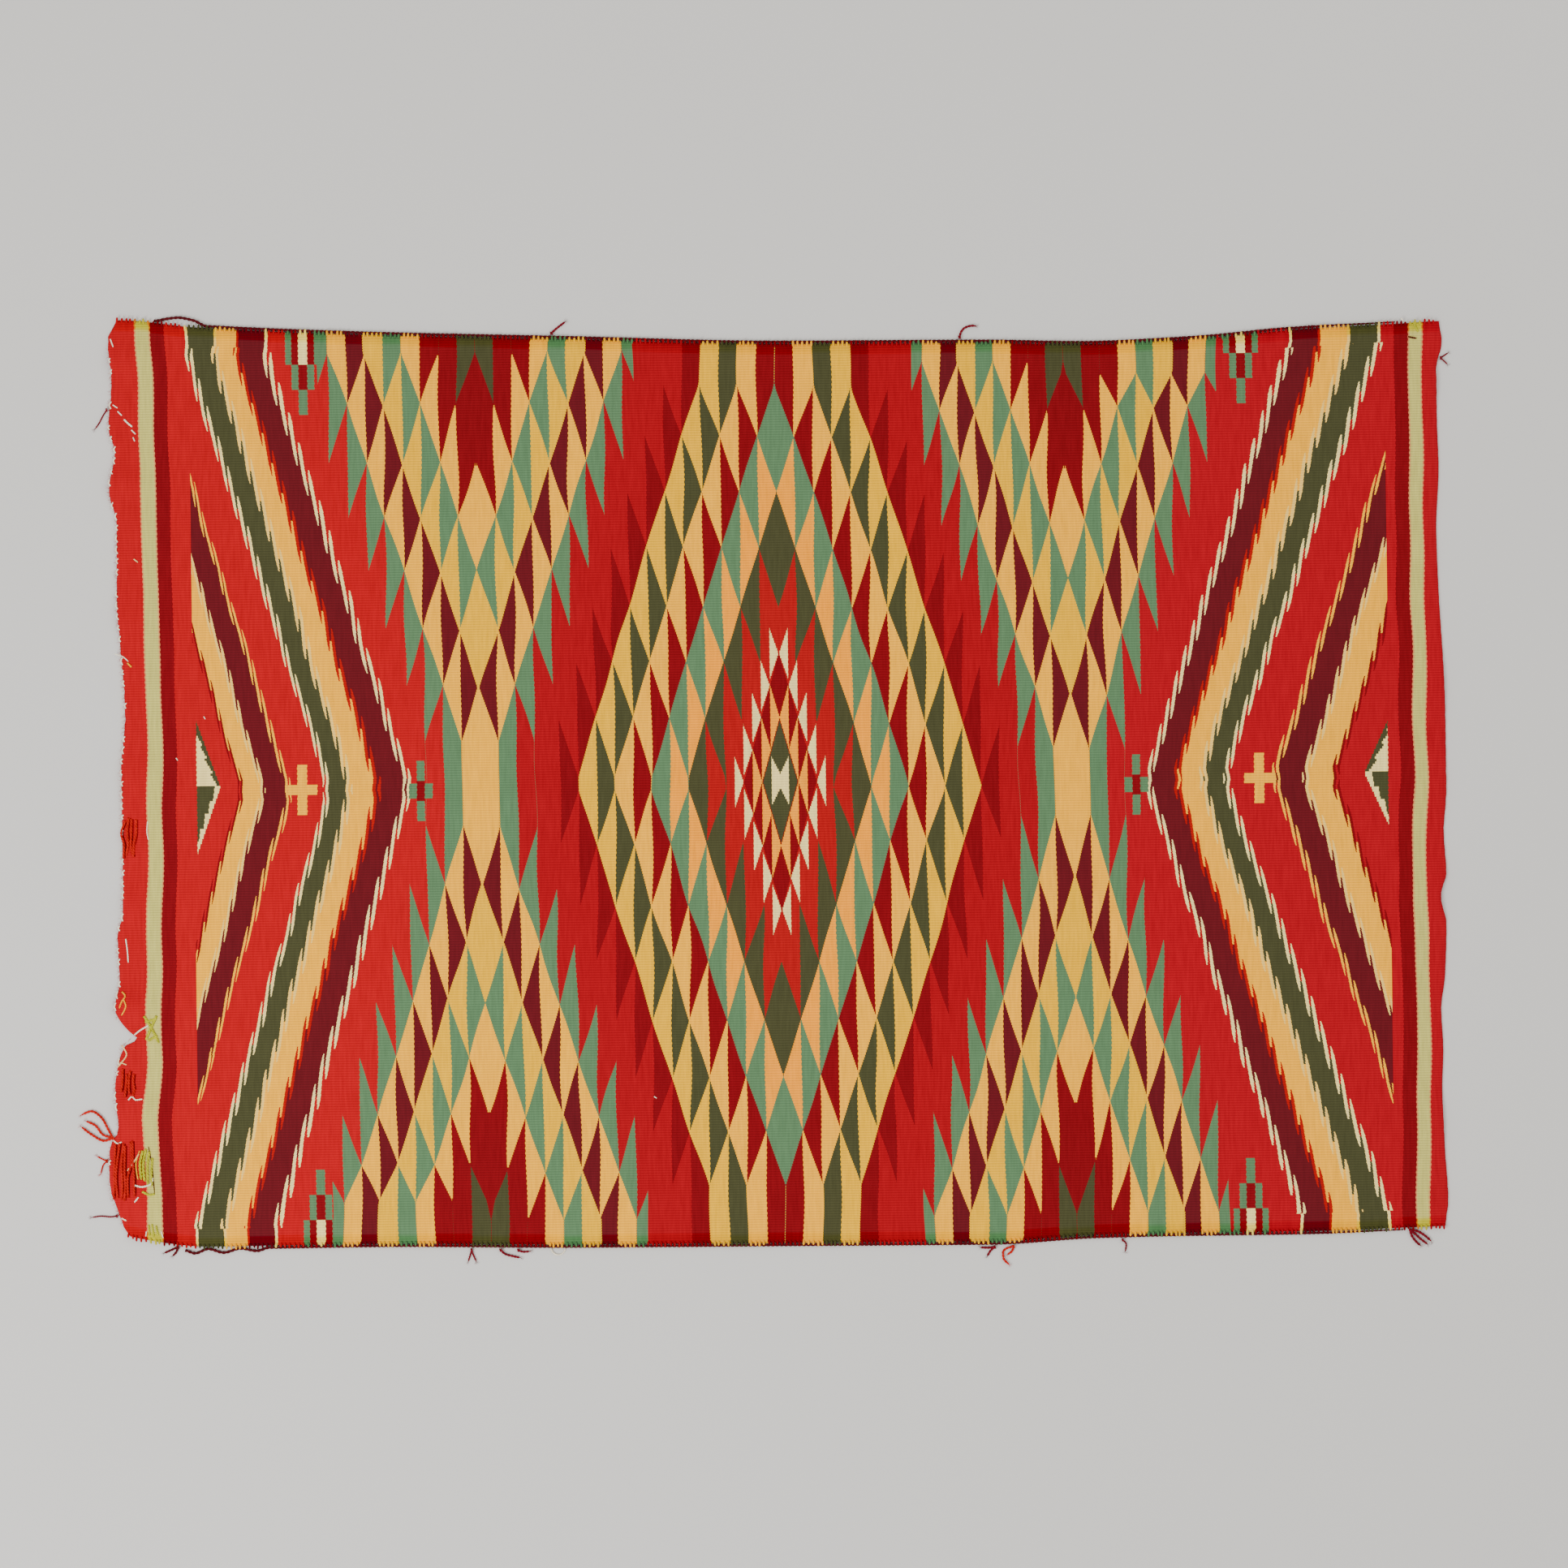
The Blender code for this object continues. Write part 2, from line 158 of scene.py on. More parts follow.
def smooth_curve(rows):
    """A function through the rows (place, value) that never swings past them.

    It is the cubic with these values, and at each row the harmonic mean of the two slopes
    beside it, or level where the slopes turn.
    """
    place, value = np.array(sorted(rows), float).T
    slope = np.diff(value) / np.diff(place)
    before, after = slope[:-1], slope[1:]
    level = before * after <= 0
    total = np.where(level, 1.0, before + after)
    tangent = np.zeros(len(place))
    tangent[1:-1] = np.where(level, 0.0, 2 * before * after / total)

    def at(where):
        where = np.asarray(where, float)
        i = np.clip(np.searchsorted(place, where) - 1, 0, len(place) - 2)
        width = place[i + 1] - place[i]
        s = np.clip((where - place[i]) / width, 0, 1)
        start = value[i] * (1 + 2 * s) * (1 - s) ** 2 + tangent[i] * width * s * (1 - s) ** 2
        end = value[i + 1] * s * s * (3 - 2 * s) - tangent[i + 1] * width * s * s * (1 - s)
        return start + end

    return at


def lift(along, across):
    """How far the cloth's underside stands off the floor: the folds' bell curves, cut at 0."""
    height = np.zeros(np.broadcast(along, across).shape)
    for middle_x, middle_y, half_length, half_width, turn, rise in FOLDS:
        angle = math.radians(turn)
        dx, dy = along - middle_x, across - middle_y
        lengthwise = (dx * math.cos(angle) + dy * math.sin(angle)) / half_length
        sideways = (dy * math.cos(angle) - dx * math.sin(angle)) / half_width
        height = height + rise * np.exp(-(lengthwise**2) - sideways**2)
    return np.maximum(height - FLOOR_CUT, 0.0)


top_edge = smooth_curve([(along, high) for along, high, low in LONG_EDGES])
bottom_edge = smooth_curve([(along, low) for along, high, low in LONG_EDGES])
left_end = smooth_curve(LEFT_END)
right_end = smooth_curve(RIGHT_END)


def stations(low, high, count, extra=()):
    """Places from low to high: three close steps at each end, then even ones, and the extra."""
    inner = np.linspace(low + EDGE_STEPS[-1], high - EDGE_STEPS[-1], count - 4 - len(extra))
    return np.unique(np.concatenate([low + EDGE_STEPS, inner, high - EDGE_STEPS, extra]))


def sheet_grid():
    """The sheet's grid, and how much of the full thickness it has at each place.

    A place's height on the blanket is shared out between the two long edges, and its place
    along between the two ends. The thickness rounds off in the last 2 mm.
    """
    heights = stations(-HALF_HEIGHT, HALF_HEIGHT, SHEET_ROWS, NOTCH_HEIGHTS)
    share = stations(0.0, 2 * HALF_LENGTH, SHEET_COLUMNS) / (2 * HALF_LENGTH)
    fray = 0.0005 * (1 + np.sin(heights * 700) * np.sin(heights * 233 + 1))[:, None]
    part_way = (heights[:, None] + HALF_HEIGHT) / (2 * HALF_HEIGHT)

    def between(along):
        """Places across, each at its height's share of the way from bottom edge to top one."""
        return bottom_edge(along) + (top_edge(along) - bottom_edge(along)) * part_way

    left = left_end(between(-HALF_LENGTH)) + fray
    right = right_end(between(HALF_LENGTH)) - 0.4 * fray
    along = left + (right - left) * share
    across = between(along)

    def rounding(count):
        """The share of the thickness at each station, by its count from the nearer edge."""
        ends = np.minimum(np.arange(count), np.arange(count)[::-1])
        return EDGE_RISE[np.minimum(ends, 2)]

    thick = np.minimum(rounding(len(heights))[:, None], rounding(len(share))[None, :])
    return along, across, thick


def grid_faces(rows, columns, start=0, close=False):
    """Quads of a grid of points numbered row by row, closed round its columns if asked."""
    width = columns if close else columns - 1
    r, c = np.mgrid[0 : rows - 1, 0:width]
    here, beside = r * columns + c, r * columns + (c + 1) % columns
    return (np.stack([here, beside, beside + columns, here + columns], axis=2) + start).reshape(-1, 4)


def add_object(name, shown):
    """An object in the scene that shows a mesh, a lamp or a camera."""
    made = bpy.data.objects.new(name, shown)
    bpy.context.scene.collection.objects.link(made)
    return made


def add_piece(name, points, faces, material):
    """A smooth mesh object at the origin, from points on the weave's axes, riding on the part."""
    placed = np.array(points, float)
    placed[:, :2] += WEAVE_MIDDLE
    mesh = bpy.data.meshes.new(name)
    mesh.from_pydata(placed.tolist(), [], [list(map(int, f)) for f in faces])
    mesh.validate()
    made = add_object(name, mesh)
    mesh.polygons.foreach_set("use_smooth", np.full(len(mesh.polygons), True))
    mesh.materials.append(material)
    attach(made, "root")
    return made


def give_attribute(made, name, values):
    """Stores three numbers at each point for the piece's material."""
    stored = made.data.attributes.new(name, "FLOAT_VECTOR", "POINT")
    stored.data.foreach_set("vector", np.asarray(values, np.float32).ravel())


# The design: serrate diamonds between two hourglasses, then stepped chevrons at both ends, all
# dyed in the wool. Its steps are counted in picks of 0.78 mm, and each row of steps lies at the
# height where the weaver beat it in.
PICK = 0.00078
RIB = 3.1
STEP_HEIGHT = 70.0

# Heights of the steps' rows in picks from the middle out, upwards and downwards. The cloth
# isn't quite square, so each side has its own.
DIAMOND_ROWS = {
    "left": ([14, 88, 157, 225, 299, 366, 437, 498], [-2, -69, -146, -213, -288, -359, -426, -490]),
    "right": ([-1, 74, 149, 216, 288, 360, 426, 488], [-3, -68, -146, -218, -286, -354, -422, -492]),
}
DIAMOND_SKEW_HALF = 180.0
DIAMOND_STEP = (22.55, 23.2)
LEFT_RISES = [60, 130, 200, 272, 338, 405, 478, 540]
HOURGLASS_ROWS = {
    "left outer": (LEFT_RISES, [-42, -115, -190, -259, -327, -398, -461, -506]),
    "left inner": (LEFT_RISES, [-47, -123, -191, -266, -336, -404, -473, -531]),
    "right inner": (
        [45, 119, 184, 251, 319, 394, 461, 521],
        [-39, -118, -191, -264, -333, -404, -474, -532],
    ),
    "right outer": (
        [41, 107, 186, 254, 325, 393, 463, 504],
        [-39, -119, -194, -264, -325, -393, -465, -530],
    ),
}
HOURGLASS_STEP = {"left": 22.6, "right": 21.85}
HOURGLASS_SKEW = 4.0

# How the hourglasses' axes wander. Columns: height in picks, left axis, right axis.
HOURGLASS_AXES = [
    (-530, -364.5, 358.5),
    (-390, -365.0, 358.5),
    (-100, -369.0, 360.0),
    (100, -370.0, 358.0),
    (387, -370.5, 355.5),
    (540, -371.0, 355.0),
]

# The chevrons' edges in picks from the blanket's middle: as drawn, at the tips, and where
# they meet the top and the bottom edge.
CHEVRON_EDGES = (0, 454.5, 489, 520, 549, 588, 611, 649, 685, 720, 748)
CHEVRON_TIPS = {
    "left": (0, 461, 498, 532, 558.5, 590, 607, 641, 667, 691, 720),
    "right": (0, 454.5, 489, 520, 549, 588.5, 611, 649, 685, 720, 748),
}
CHEVRON_ENDS = {
    "left": (0, 629, 664, 691, 726, 760, 771, 800, 826, 850, 880),
    "right": (0, 636, 671, 706, 744, 788, 803, 838, 868, 900, 930),
}
CHEVRON_MIDDLE = 3.0
CHEVRON_RUN = (12.0, 537.0)

# How the pale end stripes wander. Columns: height in picks, inner edge at left, at right.
STRIPE_EDGES = [
    (-560, 768, 777),
    (-500, 769, 779),
    (-400, 773, 780),
    (-330, 767, 781),
    (-250, 768, 781),
    (-150, 764, 778),
    (0, 762, 781),
    (300, 765, 780),
    (560, 770, 780),
]


def row_counts(rows, height):
    """Which row of steps a height falls in, as a number that is negative below the middle."""
    up, down = rows
    count = np.arange(len(up))
    return np.interp(height, [*down[::-1], *up], [*(-count[::-1]), *count])


def diamond_place(x, y):
    """Steps out from the diamond's upright axis, and rows up from its level one.

    The rows tilt a little from the left side to the right, evenly over the middle.
    """
    tilt = np.clip((x + DIAMOND_SKEW_HALF) / (2 * DIAMOND_SKEW_HALF), 0, 1)
    left, right = (row_counts(DIAMOND_ROWS[side], y) for side in ("left", "right"))
    step = np.interp(np.abs(y), [0, 500], DIAMOND_STEP)
    return np.stack([(x + 1) / step, left + (right - left) * tilt, 0 * x], axis=-1)


def hourglass_place(x, y):
    """Steps out from the nearer hourglass's axis, and rows up from its waist.

    Four steps wide round the axis, the rows pass evenly from one half's heights to the other's.
    """
    heights, *axes = np.array(HOURGLASS_AXES).T
    found = {}
    for side, axis in zip(("left", "right"), axes):
        step = (x - np.interp(y, heights, axis)) / HOURGLASS_STEP[side]
        halves = ("outer", "inner") if side == "left" else ("inner", "outer")
        first, second = (row_counts(HOURGLASS_ROWS[f"{side} {half}"], y) for half in halves)
        found[side] = [step, first + (second - first) * np.clip(step / HOURGLASS_SKEW + 0.5, 0, 1)]
    step, row = (np.where(x < 0, a, b) for a, b in zip(found["left"], found["right"]))
    return np.stack([step, row, 0 * x], axis=-1)


def chevron_place(x, y):
    """Picks out across the chevrons as drawn, picks up, and picks out from a stripe's edge.

    Each drawn edge runs straight from its tip to its end, and between two edges the place is
    shared out evenly.
    """
    out, rise = np.abs(x), y - CHEVRON_MIDDLE
    run = np.clip((np.abs(rise) - CHEVRON_RUN[0]) / (CHEVRON_RUN[1] - CHEVRON_RUN[0]), 0, 1)
    drawn = np.array(CHEVRON_EDGES, float)
    found = []
    for side in ("left", "right"):
        tips, ends = np.array(CHEVRON_TIPS[side]), np.array(CHEVRON_ENDS[side])
        edges = tips + (ends - tips) * run[..., None]
        i = np.clip((out[..., None] >= edges).sum(axis=-1) - 1, 0, len(tips) - 2)
        low = np.take_along_axis(edges, i[..., None], -1)[..., 0]
        high = np.take_along_axis(edges, i[..., None] + 1, -1)[..., 0]
        found.append(drawn[i] + (drawn[i + 1] - drawn[i]) * (out - low) / (high - low))
    heights, *stripes = np.array(STRIPE_EDGES).T
    at_left, at_right = (out - np.interp(y, heights, edge) for edge in stripes)
    return np.stack([np.where(x < 0, *found), rise, np.where(x < 0, at_left, at_right)], axis=-1)


def place_design(made, x, y):
    """Stores the design's places for points at x, y in picks, each edge wandering a little."""
    wander = np.sin(x * 0.021 + 3 * np.sin(y * 0.017)) + np.sin(y * 0.043 + 2 * np.sin(x * 0.031))
    give_attribute(made, "diamond", diamond_place(x + wander * 0.7, y))
    give_attribute(made, "hourglass", hourglass_place(x + wander * 0.7, y))
    give_attribute(made, "chevron", chevron_place(x + wander * 0.8, y))
    metres = x * PICK
    inside = np.minimum(top_edge(metres) / PICK - y, y - bottom_edge(metres) / PICK)
    give_attribute(made, "picks", np.stack([x, y, inside], axis=-1))


def math_node(operation, reflected=False):
    """A method that adds a Math node for a value and another, the other first if reflected."""

    def method(self, other=0.0):
        """This value and the other one put through the operation."""
        first, second = (other, self) if reflected else (self, other)
        return self.node("ShaderNodeMath", {"operation": operation}, {0: first, 1: second})

    return method


class Wire:
    """A value in a material. Arithmetic and comparisons on it add Math nodes."""

    def __init__(self, tree, socket=None):
        self.tree, self.socket = tree, socket

    def node(self, kind, settings, values, out=0):
        """Adds any node: its settings first, then its sockets' values and links."""
        made = self.tree.nodes.new(kind)
        for name, value in settings.items():
            setattr(made, name, value)
        for key, value in values.items():
            if isinstance(value, Wire):
                self.tree.links.new(value.socket, made.inputs[key])
            else:
                made.inputs[key].default_value = value
        return Wire(self.tree, made.outputs[out])

    __add__, __radd__ = math_node("ADD"), math_node("ADD", True)
    __sub__, __rsub__ = math_node("SUBTRACT"), math_node("SUBTRACT", True)
    __mul__, __rmul__ = math_node("MULTIPLY"), math_node("MULTIPLY", True)
    __truediv__, zigzag = math_node("DIVIDE"), math_node("PINGPONG")
    __gt__, __lt__ = math_node("GREATER_THAN"), math_node("LESS_THAN")
    __abs__, floor, fraction = math_node("ABSOLUTE"), math_node("FLOOR"), math_node("FRACT")
    at_least, at_most = math_node("MAXIMUM"), math_node("MINIMUM")

    def eased(self, low, high):
        """0 below low, 1 above high, and a smooth rise between."""
        values = {"Value": self, "From Min": low, "From Max": high}
        return self.node("ShaderNodeMapRange", {"interpolation_type": "SMOOTHSTEP"}, values)

    def blend(self, low, high):
        """The colour low where this is 0, and high where it is 1."""
        return self.node(
            "ShaderNodeMix", {"data_type": "RGBA"}, {"Factor": self, 6: low, 7: high}, out=2
        )

    def tinted(self, colour):
        """This plain colour node set to a colour."""
        self.socket.default_value = (*colour, 1.0)
        return self

    def shaded(self, amount):
        """This colour times an amount."""
        settings = {"data_type": "RGBA", "blend_type": "MULTIPLY"}
        grey = self.node("ShaderNodeCombineColor", {}, {0: amount, 1: amount, 2: amount})
        return self.node("ShaderNodeMix", settings, {"Factor": 1.0, 6: self, 7: grey}, out=2)

    def noise(self, vector, scale, detail):
        """Smooth noise from about 0.3 to 0.7 over a vector."""
        values = {"Vector": vector, "Scale": scale, "Detail": detail}
        return self.node("ShaderNodeTexNoise", {}, values)


# The wool's dyes. Columns: red, green, blue, each linear.
DYES = {
    "scarlet": (0.440, 0.004, 0.009),
    "flame": (0.380, 0.003, 0.011),
    "field": (0.340, 0.003, 0.009),
    "heart": (0.380, 0.006, 0.008),
    "crimson": (0.195, 0.004, 0.008),
    "dusky": (0.190, 0.004, 0.008),
    "maroon": (0.115, 0.008, 0.012),
    "cream": (0.970, 0.430, 0.012),
    "gold": (0.850, 0.430, 0.002),
    "peach": (0.970, 0.330, 0.008),
    "olive": (0.056, 0.056, 0.023),
    "teal": (0.092, 0.185, 0.088),
    "celadon": (0.540, 0.490, 0.125),
    "white": (0.920, 0.730, 0.270),
    "pale": (0.880, 0.560, 0.130),
    "ember": (0.400, 0.004, 0.004),
    "blush": (0.620, 0.240, 0.090),
}


def painted(ground, index, names, where=1.0):
    """The dye whose place in names is the index, laid over the ground.

    A None lets the ground show, and so does any place below 0 or past the last name.
    """
    last = len(names)
    share = ((index + 0.5) / last).at_least(0.0).at_most(0.99999)
    ramp = ground.node("ShaderNodeValToRGB", {}, {0: share})
    stops = ramp.socket.node.color_ramp
    stops.interpolation = "CONSTANT"
    stops.elements.remove(stops.elements[1])
    for number, name in enumerate(names):
        stop = stops.elements.new(number / last) if number else stops.elements[0]
        stop.color = (*DYES[name], 1.0) if name else (0.0, 0.0, 0.0, 0.0)
    inside = (index > -0.5) * (index < last - 0.5)
    solid = Wire(ground.tree, ramp.socket.node.outputs["Alpha"])
    return (solid * inside * where).blend(ground, ramp)


def parts(wire, name):
    """The three numbers stored at the surface's points under a name."""
    stored = wire.node("ShaderNodeAttribute", {"attribute_name": name}, {}, out="Vector")
    apart = stored.node("ShaderNodeSeparateXYZ", {}, {0: stored}).socket.node
    return [Wire(wire.tree, apart.outputs[i]) for i in range(3)]


def dyed(wire, name):
    """One dye as a value to blend with."""
    return wire.node("ShaderNodeRGB", {}, {}).tinted(DYES[name])


# The red ground: where the left end's lighter scarlet gives way to the right end's deeper red, and
# where the middle red, a dye of its own, lies.
RED_BLEND_HALF = 520.0
FIELD_MIDDLE = -6.0
FIELD_HALF = 362.0


def field_colour(across):
    """Scarlet wool, lighter at the left end and deeper towards the right, and a deeper red of its own
    between the hourglasses.
    """
    to_right = across.eased(-RED_BLEND_HALF, RED_BLEND_HALF)
    ends = to_right.blend(dyed(across, "scarlet"), dyed(across, "flame"))
    return (abs(across - FIELD_MIDDLE) < FIELD_HALF).blend(ends, dyed(across, "field"))


# How wide a step is for the comb, how far a band laps over the next, the share of a band either
# side of its middle that is combed, and how many steps an hourglass reaches out. Then the dyes,
# two to a band, from the hourglass's waist and from the diamond's middle.
COMB_STEP = 22.4
BAND_LAP = 0.05
COMBED = 0.4
HOURGLASS_REACH = 8.6
HOURGLASS_DYES = ["teal", None, "maroon", "cream", "teal", "gold", "crimson", "cream", "olive"]
HOURGLASS_DYES += ["crimson"] * 5
DIAMOND_DYES = ["heart", "heart", "heart", "olive", "peach", "teal", "crimson", "cream", "olive"]
DIAMOND_DYES += ["gold", "dusky"]


def combed(along, comb, band):
    """A place along, moved by the comb except close to where one band meets the next."""
    return along + comb / COMB_STEP * (abs(band.fraction() - 0.5) < COMBED)


def hourglass_colour(start, down, comb, ground):
    """Bands two steps wide climb outwards, each split by upright lines into two dyes."""
    along, row, unused = parts(start, "hourglass")
    step = abs(along)
    band = (abs(row + down / STEP_HEIGHT) + 1 - step) / 2
    lap = (band + 2).zigzag(1.0) * BAND_LAP
    band = band + lap
    split = (step + (band.fraction() - lap).at_least(0.0)).floor()
    index = (band.floor() + 1) * 2 + (abs(combed(along, comb, band)) > split)
    return painted(ground, index, HOURGLASS_DYES, step < HOURGLASS_REACH)


def diamond_colour(start, down, comb, ground):
    """Rings two steps wide round the middle, split as the hourglasses' bands are.

    The outermost ring shows only its inner halves, as dark teeth.
    """
    along, row, unused = parts(start, "diamond")
    step = abs(along)
    ring = step + abs(row + down / STEP_HEIGHT)
    band = (ring - 1) / 2
    outer = abs(combed(along, comb, band)) + 0.03 > (step - band.fraction()).floor() + 1
    return painted(ground, (band.floor() * 2 + outer).at_least(0.0), DIAMOND_DYES)


def plain(ground, name, where):
    """One dye laid over the ground where the mask is above a half."""
    return painted(ground, 0.0 * where, [name], where > 0.5)


# The small diamond at the centre, in picks. Its olive heart is 1.9 rings wide and its cells
# stand round four rings.
CENTRE_STEP = 11.2
CENTRE_ROW = 39.5
CENTRE_HEART = 1.9
CENTRE_RINGS = 4
BOW_WAIST = 8.5
BOW_END = 31.0


def centre_colour(across, height, comb, ground):
    """A small stepped diamond with an olive heart, white cells round it and a white bow tie."""
    step = abs(across + comb * 0.5 + 0.5) / CENTRE_STEP
    row = abs(height - 6) / CENTRE_ROW
    ring = step + row
    outer = step > (step - (ring / 2).fraction()).floor() + 1
    inside = (ring < CENTRE_RINGS) * (ring > CENTRE_HEART)
    colour = painted(ground, outer, ["peach", "crimson"], inside)
    colour = plain(colour, "olive", ring < CENTRE_HEART)
    cell = abs(row + step.floor() - CENTRE_RINGS) < (step.fraction() - 0.05) * 0.82
    waist = (BOW_WAIST + 2 * CENTRE_STEP * step).at_most(BOW_END)
    bow = (step < 0.94) * (abs(height - 7) < waist)
    return plain(colour, "white", cell * (step < CENTRE_RINGS + 1) + bow)


# The serrate lines between two chevron bands: slanted slips of wool, each overlapping the next,
# that give way to one upright line in the last picks by a long edge.
SLIP_SPACING = 5.6
SLIP_PERIOD = {"left": 36.6, "right": 32.0}
PLAIN_BY_EDGE = 22.0
CHEVRON_LINES = (454.5, 489, 520, 549, 611, 649, 685)
CHEVRON_BETWEEN = (471, 504, 534, 580, 630, 667)
CHEVRON_DYES = [None, "maroon", "cream", "olive", None, "maroon", "cream", None]
LINE_DYES = ["white", "ember", "pale", "white", "cream", "pale", "dusky"]


def slip_width(rise):
    """Half a slip's width by how far up it is: full near its middle, then tapering."""
    taper = (1.0 - abs(rise)) * 0.60 + 0.04
    return taper.at_most(0.32) * (abs(rise) < 0.9)


def chevron_colour(start, down, comb, ground):
    """Bands of plain dye whose edges are serrate lines, each in a dye of its own.

    Part is how far across a point lies from the slip beside it, in spacings, and up is how far
    its height lies from that slip's middle, in periods.
    """
    place, rise, unused = parts(start, "chevron")
    across, unused, inside = parts(start, "picks")
    at_right = across > 0.0
    place = place + comb * 0.4
    nearest, number = 0.0 * place + CHEVRON_LINES[0], 0.0 * place
    for between, line, following in zip(CHEVRON_BETWEEN, CHEVRON_LINES, CHEVRON_LINES[1:]):
        past = place > between
        nearest = nearest + past * (following - line)
        number = number + past
    period = SLIP_PERIOD["left"] + (SLIP_PERIOD["right"] - SLIP_PERIOD["left"]) * at_right
    turn = (abs(rise + down) + nearest * 0.31 + 12) / period
    off = (place - nearest) / SLIP_SPACING
    part = (off + turn).fraction()
    up = part - off
    upright = inside < PLAIN_BY_EDGE
    slanted = (part < slip_width(up)) + ((1 - part) < slip_width(up - 1))
    slip = slanted * (1 - upright) + upright * (abs(off) < 0.26)
    band = number + (1 - (up > 0.5)) * (1 - upright) + upright * (off > 0)
    cut = (number > 3.5) * (abs(across) > 723.0 + 27.0 * at_right)
    shown = (place > 440) * (1 - cut) * (place < 712)
    colour = painted(ground, band, CHEVRON_DYES, shown)
    return painted(colour, number, LINE_DYES, shown * (slip > 0.5))


# The small motifs' places out from the middle, their tiers and their steps, all in picks.
CROSS_OUT = 589.5
BLOSSOM_OUT = 443.5
BLOSSOM_STEP = 4.9
HALF_BLOSSOM_OUT = 573.0
HALF_BLOSSOM_FOOT = 464
HALF_BLOSSOM_TIER = 31
HALF_DIAMOND_OUT = 691
HALF_DIAMOND_DEEP = 28.5
HALF_DIAMOND_TOOTH = 17


def cross_and_blossom(across, height, ground):
    """A cream cross and a small teal blossom with a crimson heart on each side."""
    at_right = across > 0.0
    out = abs(across)
    column, rise = abs(out - CROSS_OUT), abs(height - 4)
    cross = (column < 6) * (rise < 30.5) + (column < 18.5) * (rise < 6.3)
    colour = plain(ground, "cream", cross)
    column = abs(out - BLOSSOM_OUT + 5.5 * at_right) / BLOSSOM_STEP
    rise = abs(height + 3.0 * at_right)
    colour = plain(colour, "teal", (column < 1) * (rise < 36) + (column < 3) * (rise < 10.5))
    return plain(colour, "crimson", (column < 1) * (rise < 12))


def half_blossoms(across, height, ground):
    """Half a blossom at each long edge, in three tiers that widen to white at the edge."""
    at_right, at_top = across > 0.0, height > 0.0
    column = abs(abs(across) - HALF_BLOSSOM_OUT - 9.5 * at_top * (1 - at_right))
    rise = abs(height) - HALF_BLOSSOM_FOOT
    ring = (column > 5.5) + (column > 14) + (column > 21.5) * 9
    tier = (rise / HALF_BLOSSOM_TIER).floor().at_most(2.0)
    return painted(ground, tier - ring, ["teal", "crimson", "white"], (column < 30) * (rise > 0))


def half_diamonds(across, height, ground):
    """Half a diamond by each end stripe, white over olive, its border toothed the other way."""
    at_right = across > 0.0
    share = (abs(across) - HALF_DIAMOND_OUT - 29 * at_right) / HALF_DIAMOND_DEEP
    rise = height - 8
    half_height = (80 - 18 * at_right) * share
    body = (share > 0) * (share < 1) * (abs(rise) < half_height + 2)
    border = abs(rise) > half_height - 7 - (rise / HALF_DIAMOND_TOOTH).fraction() * 11
    return painted(ground, abs((rise > 0) - border), ["olive", "white"], body)


def end_stripes(start, across, comb, ground):
    """A dark red and a pale green stripe at each end, the green edged with a blush of pink."""
    unused, unused, place = parts(start, "chevron")
    place = place + comb
    wide = 17 - 2.0 * (across > 0.0)
    far = abs(across) > 700
    colour = plain(ground, "dusky", far * (place > -18) * (place < 0))
    colour = plain(colour, "blush", far * (place > -1) * (place < wide + 1.5))
    return plain(colour, "celadon", far * (place > 0.5) * (place < wide))


def new_material(name, constants):
    """A material with these constants on its shader's sockets, its node tree and its shader."""
    material = bpy.data.materials.new(name)
    material.use_nodes = True
    shader = material.node_tree.nodes["Principled BSDF"]
    for socket, value in constants.items():
        shader.inputs[socket].default_value = value
    return material, material.node_tree, shader


def weave_material():
    """Weft-faced wool: the design, then rows of ribs with the wefts beaten over them, and shade
    painted into the grooves between the ribs.
    """
    matt = {"Roughness": 0.95, "Specular IOR Level": 0.03}
    soft = {"Sheen Weight": 0.02, "Sheen Roughness": 0.6}
    material, tree, shader = new_material("wool_weave", matt | soft)
    start = Wire(tree)
    across, height, inside = parts(start, "picks")
    rib = (height / RIB).floor()
    down = (rib + 0.5) * RIB - height
    level = height + down
    comb = ((rib * 0.5).fraction() - 0.25) * 1.2
    colour = field_colour(across)
    colour = hourglass_colour(start, down, comb, colour)
    colour = chevron_colour(start, down, comb, colour)
    for motif in (cross_and_blossom, half_blossoms, half_diamonds):
        colour = motif(across + comb, level, colour)
    colour = end_stripes(start, across, comb, colour)
    colour = diamond_colour(start, down, comb, colour)
    colour = centre_colour(across, level, comb, colour)
    fresh = 1 - inside.eased(7.0, 14.0)
    rich = {"Saturation": 1.0 + 0.25 * fresh, "Value": 1.0 - 0.12 * fresh, "Color": colour}
    colour = start.node("ShaderNodeHueSaturation", {}, rich)
    streak = start.node("ShaderNodeCombineXYZ", {}, {0: across * 0.35, 1: height * 0.03})
    lot = start.noise(streak, 1.0, 3.0)
    # Painted shade: the colour darkens towards each groove between the ribs, on top of the streaks of
    # the wool's dye lots.
    painted_rib_shade = 1 - abs(down) * (2 / RIB)
    colour = colour.shaded((0.83 + 0.24 * painted_rib_shade) * (0.76 + 0.48 * lot))
    tree.links.new(colour.socket, shader.inputs["Base Color"])
    pick = abs(((across + rib.fraction()) / 1.25 + (rib * 0.5).fraction()).fraction() - 0.5)
    height_of = 1 - abs(down) * abs(down) * 0.35 - pick * 0.5
    bump = {"Strength": 0.7, "Distance": 0.0004, "Height": height_of}
    normal = start.node("ShaderNodeBump", {}, bump)
    tree.links.new(normal.socket, shader.inputs["Normal"])
    return material


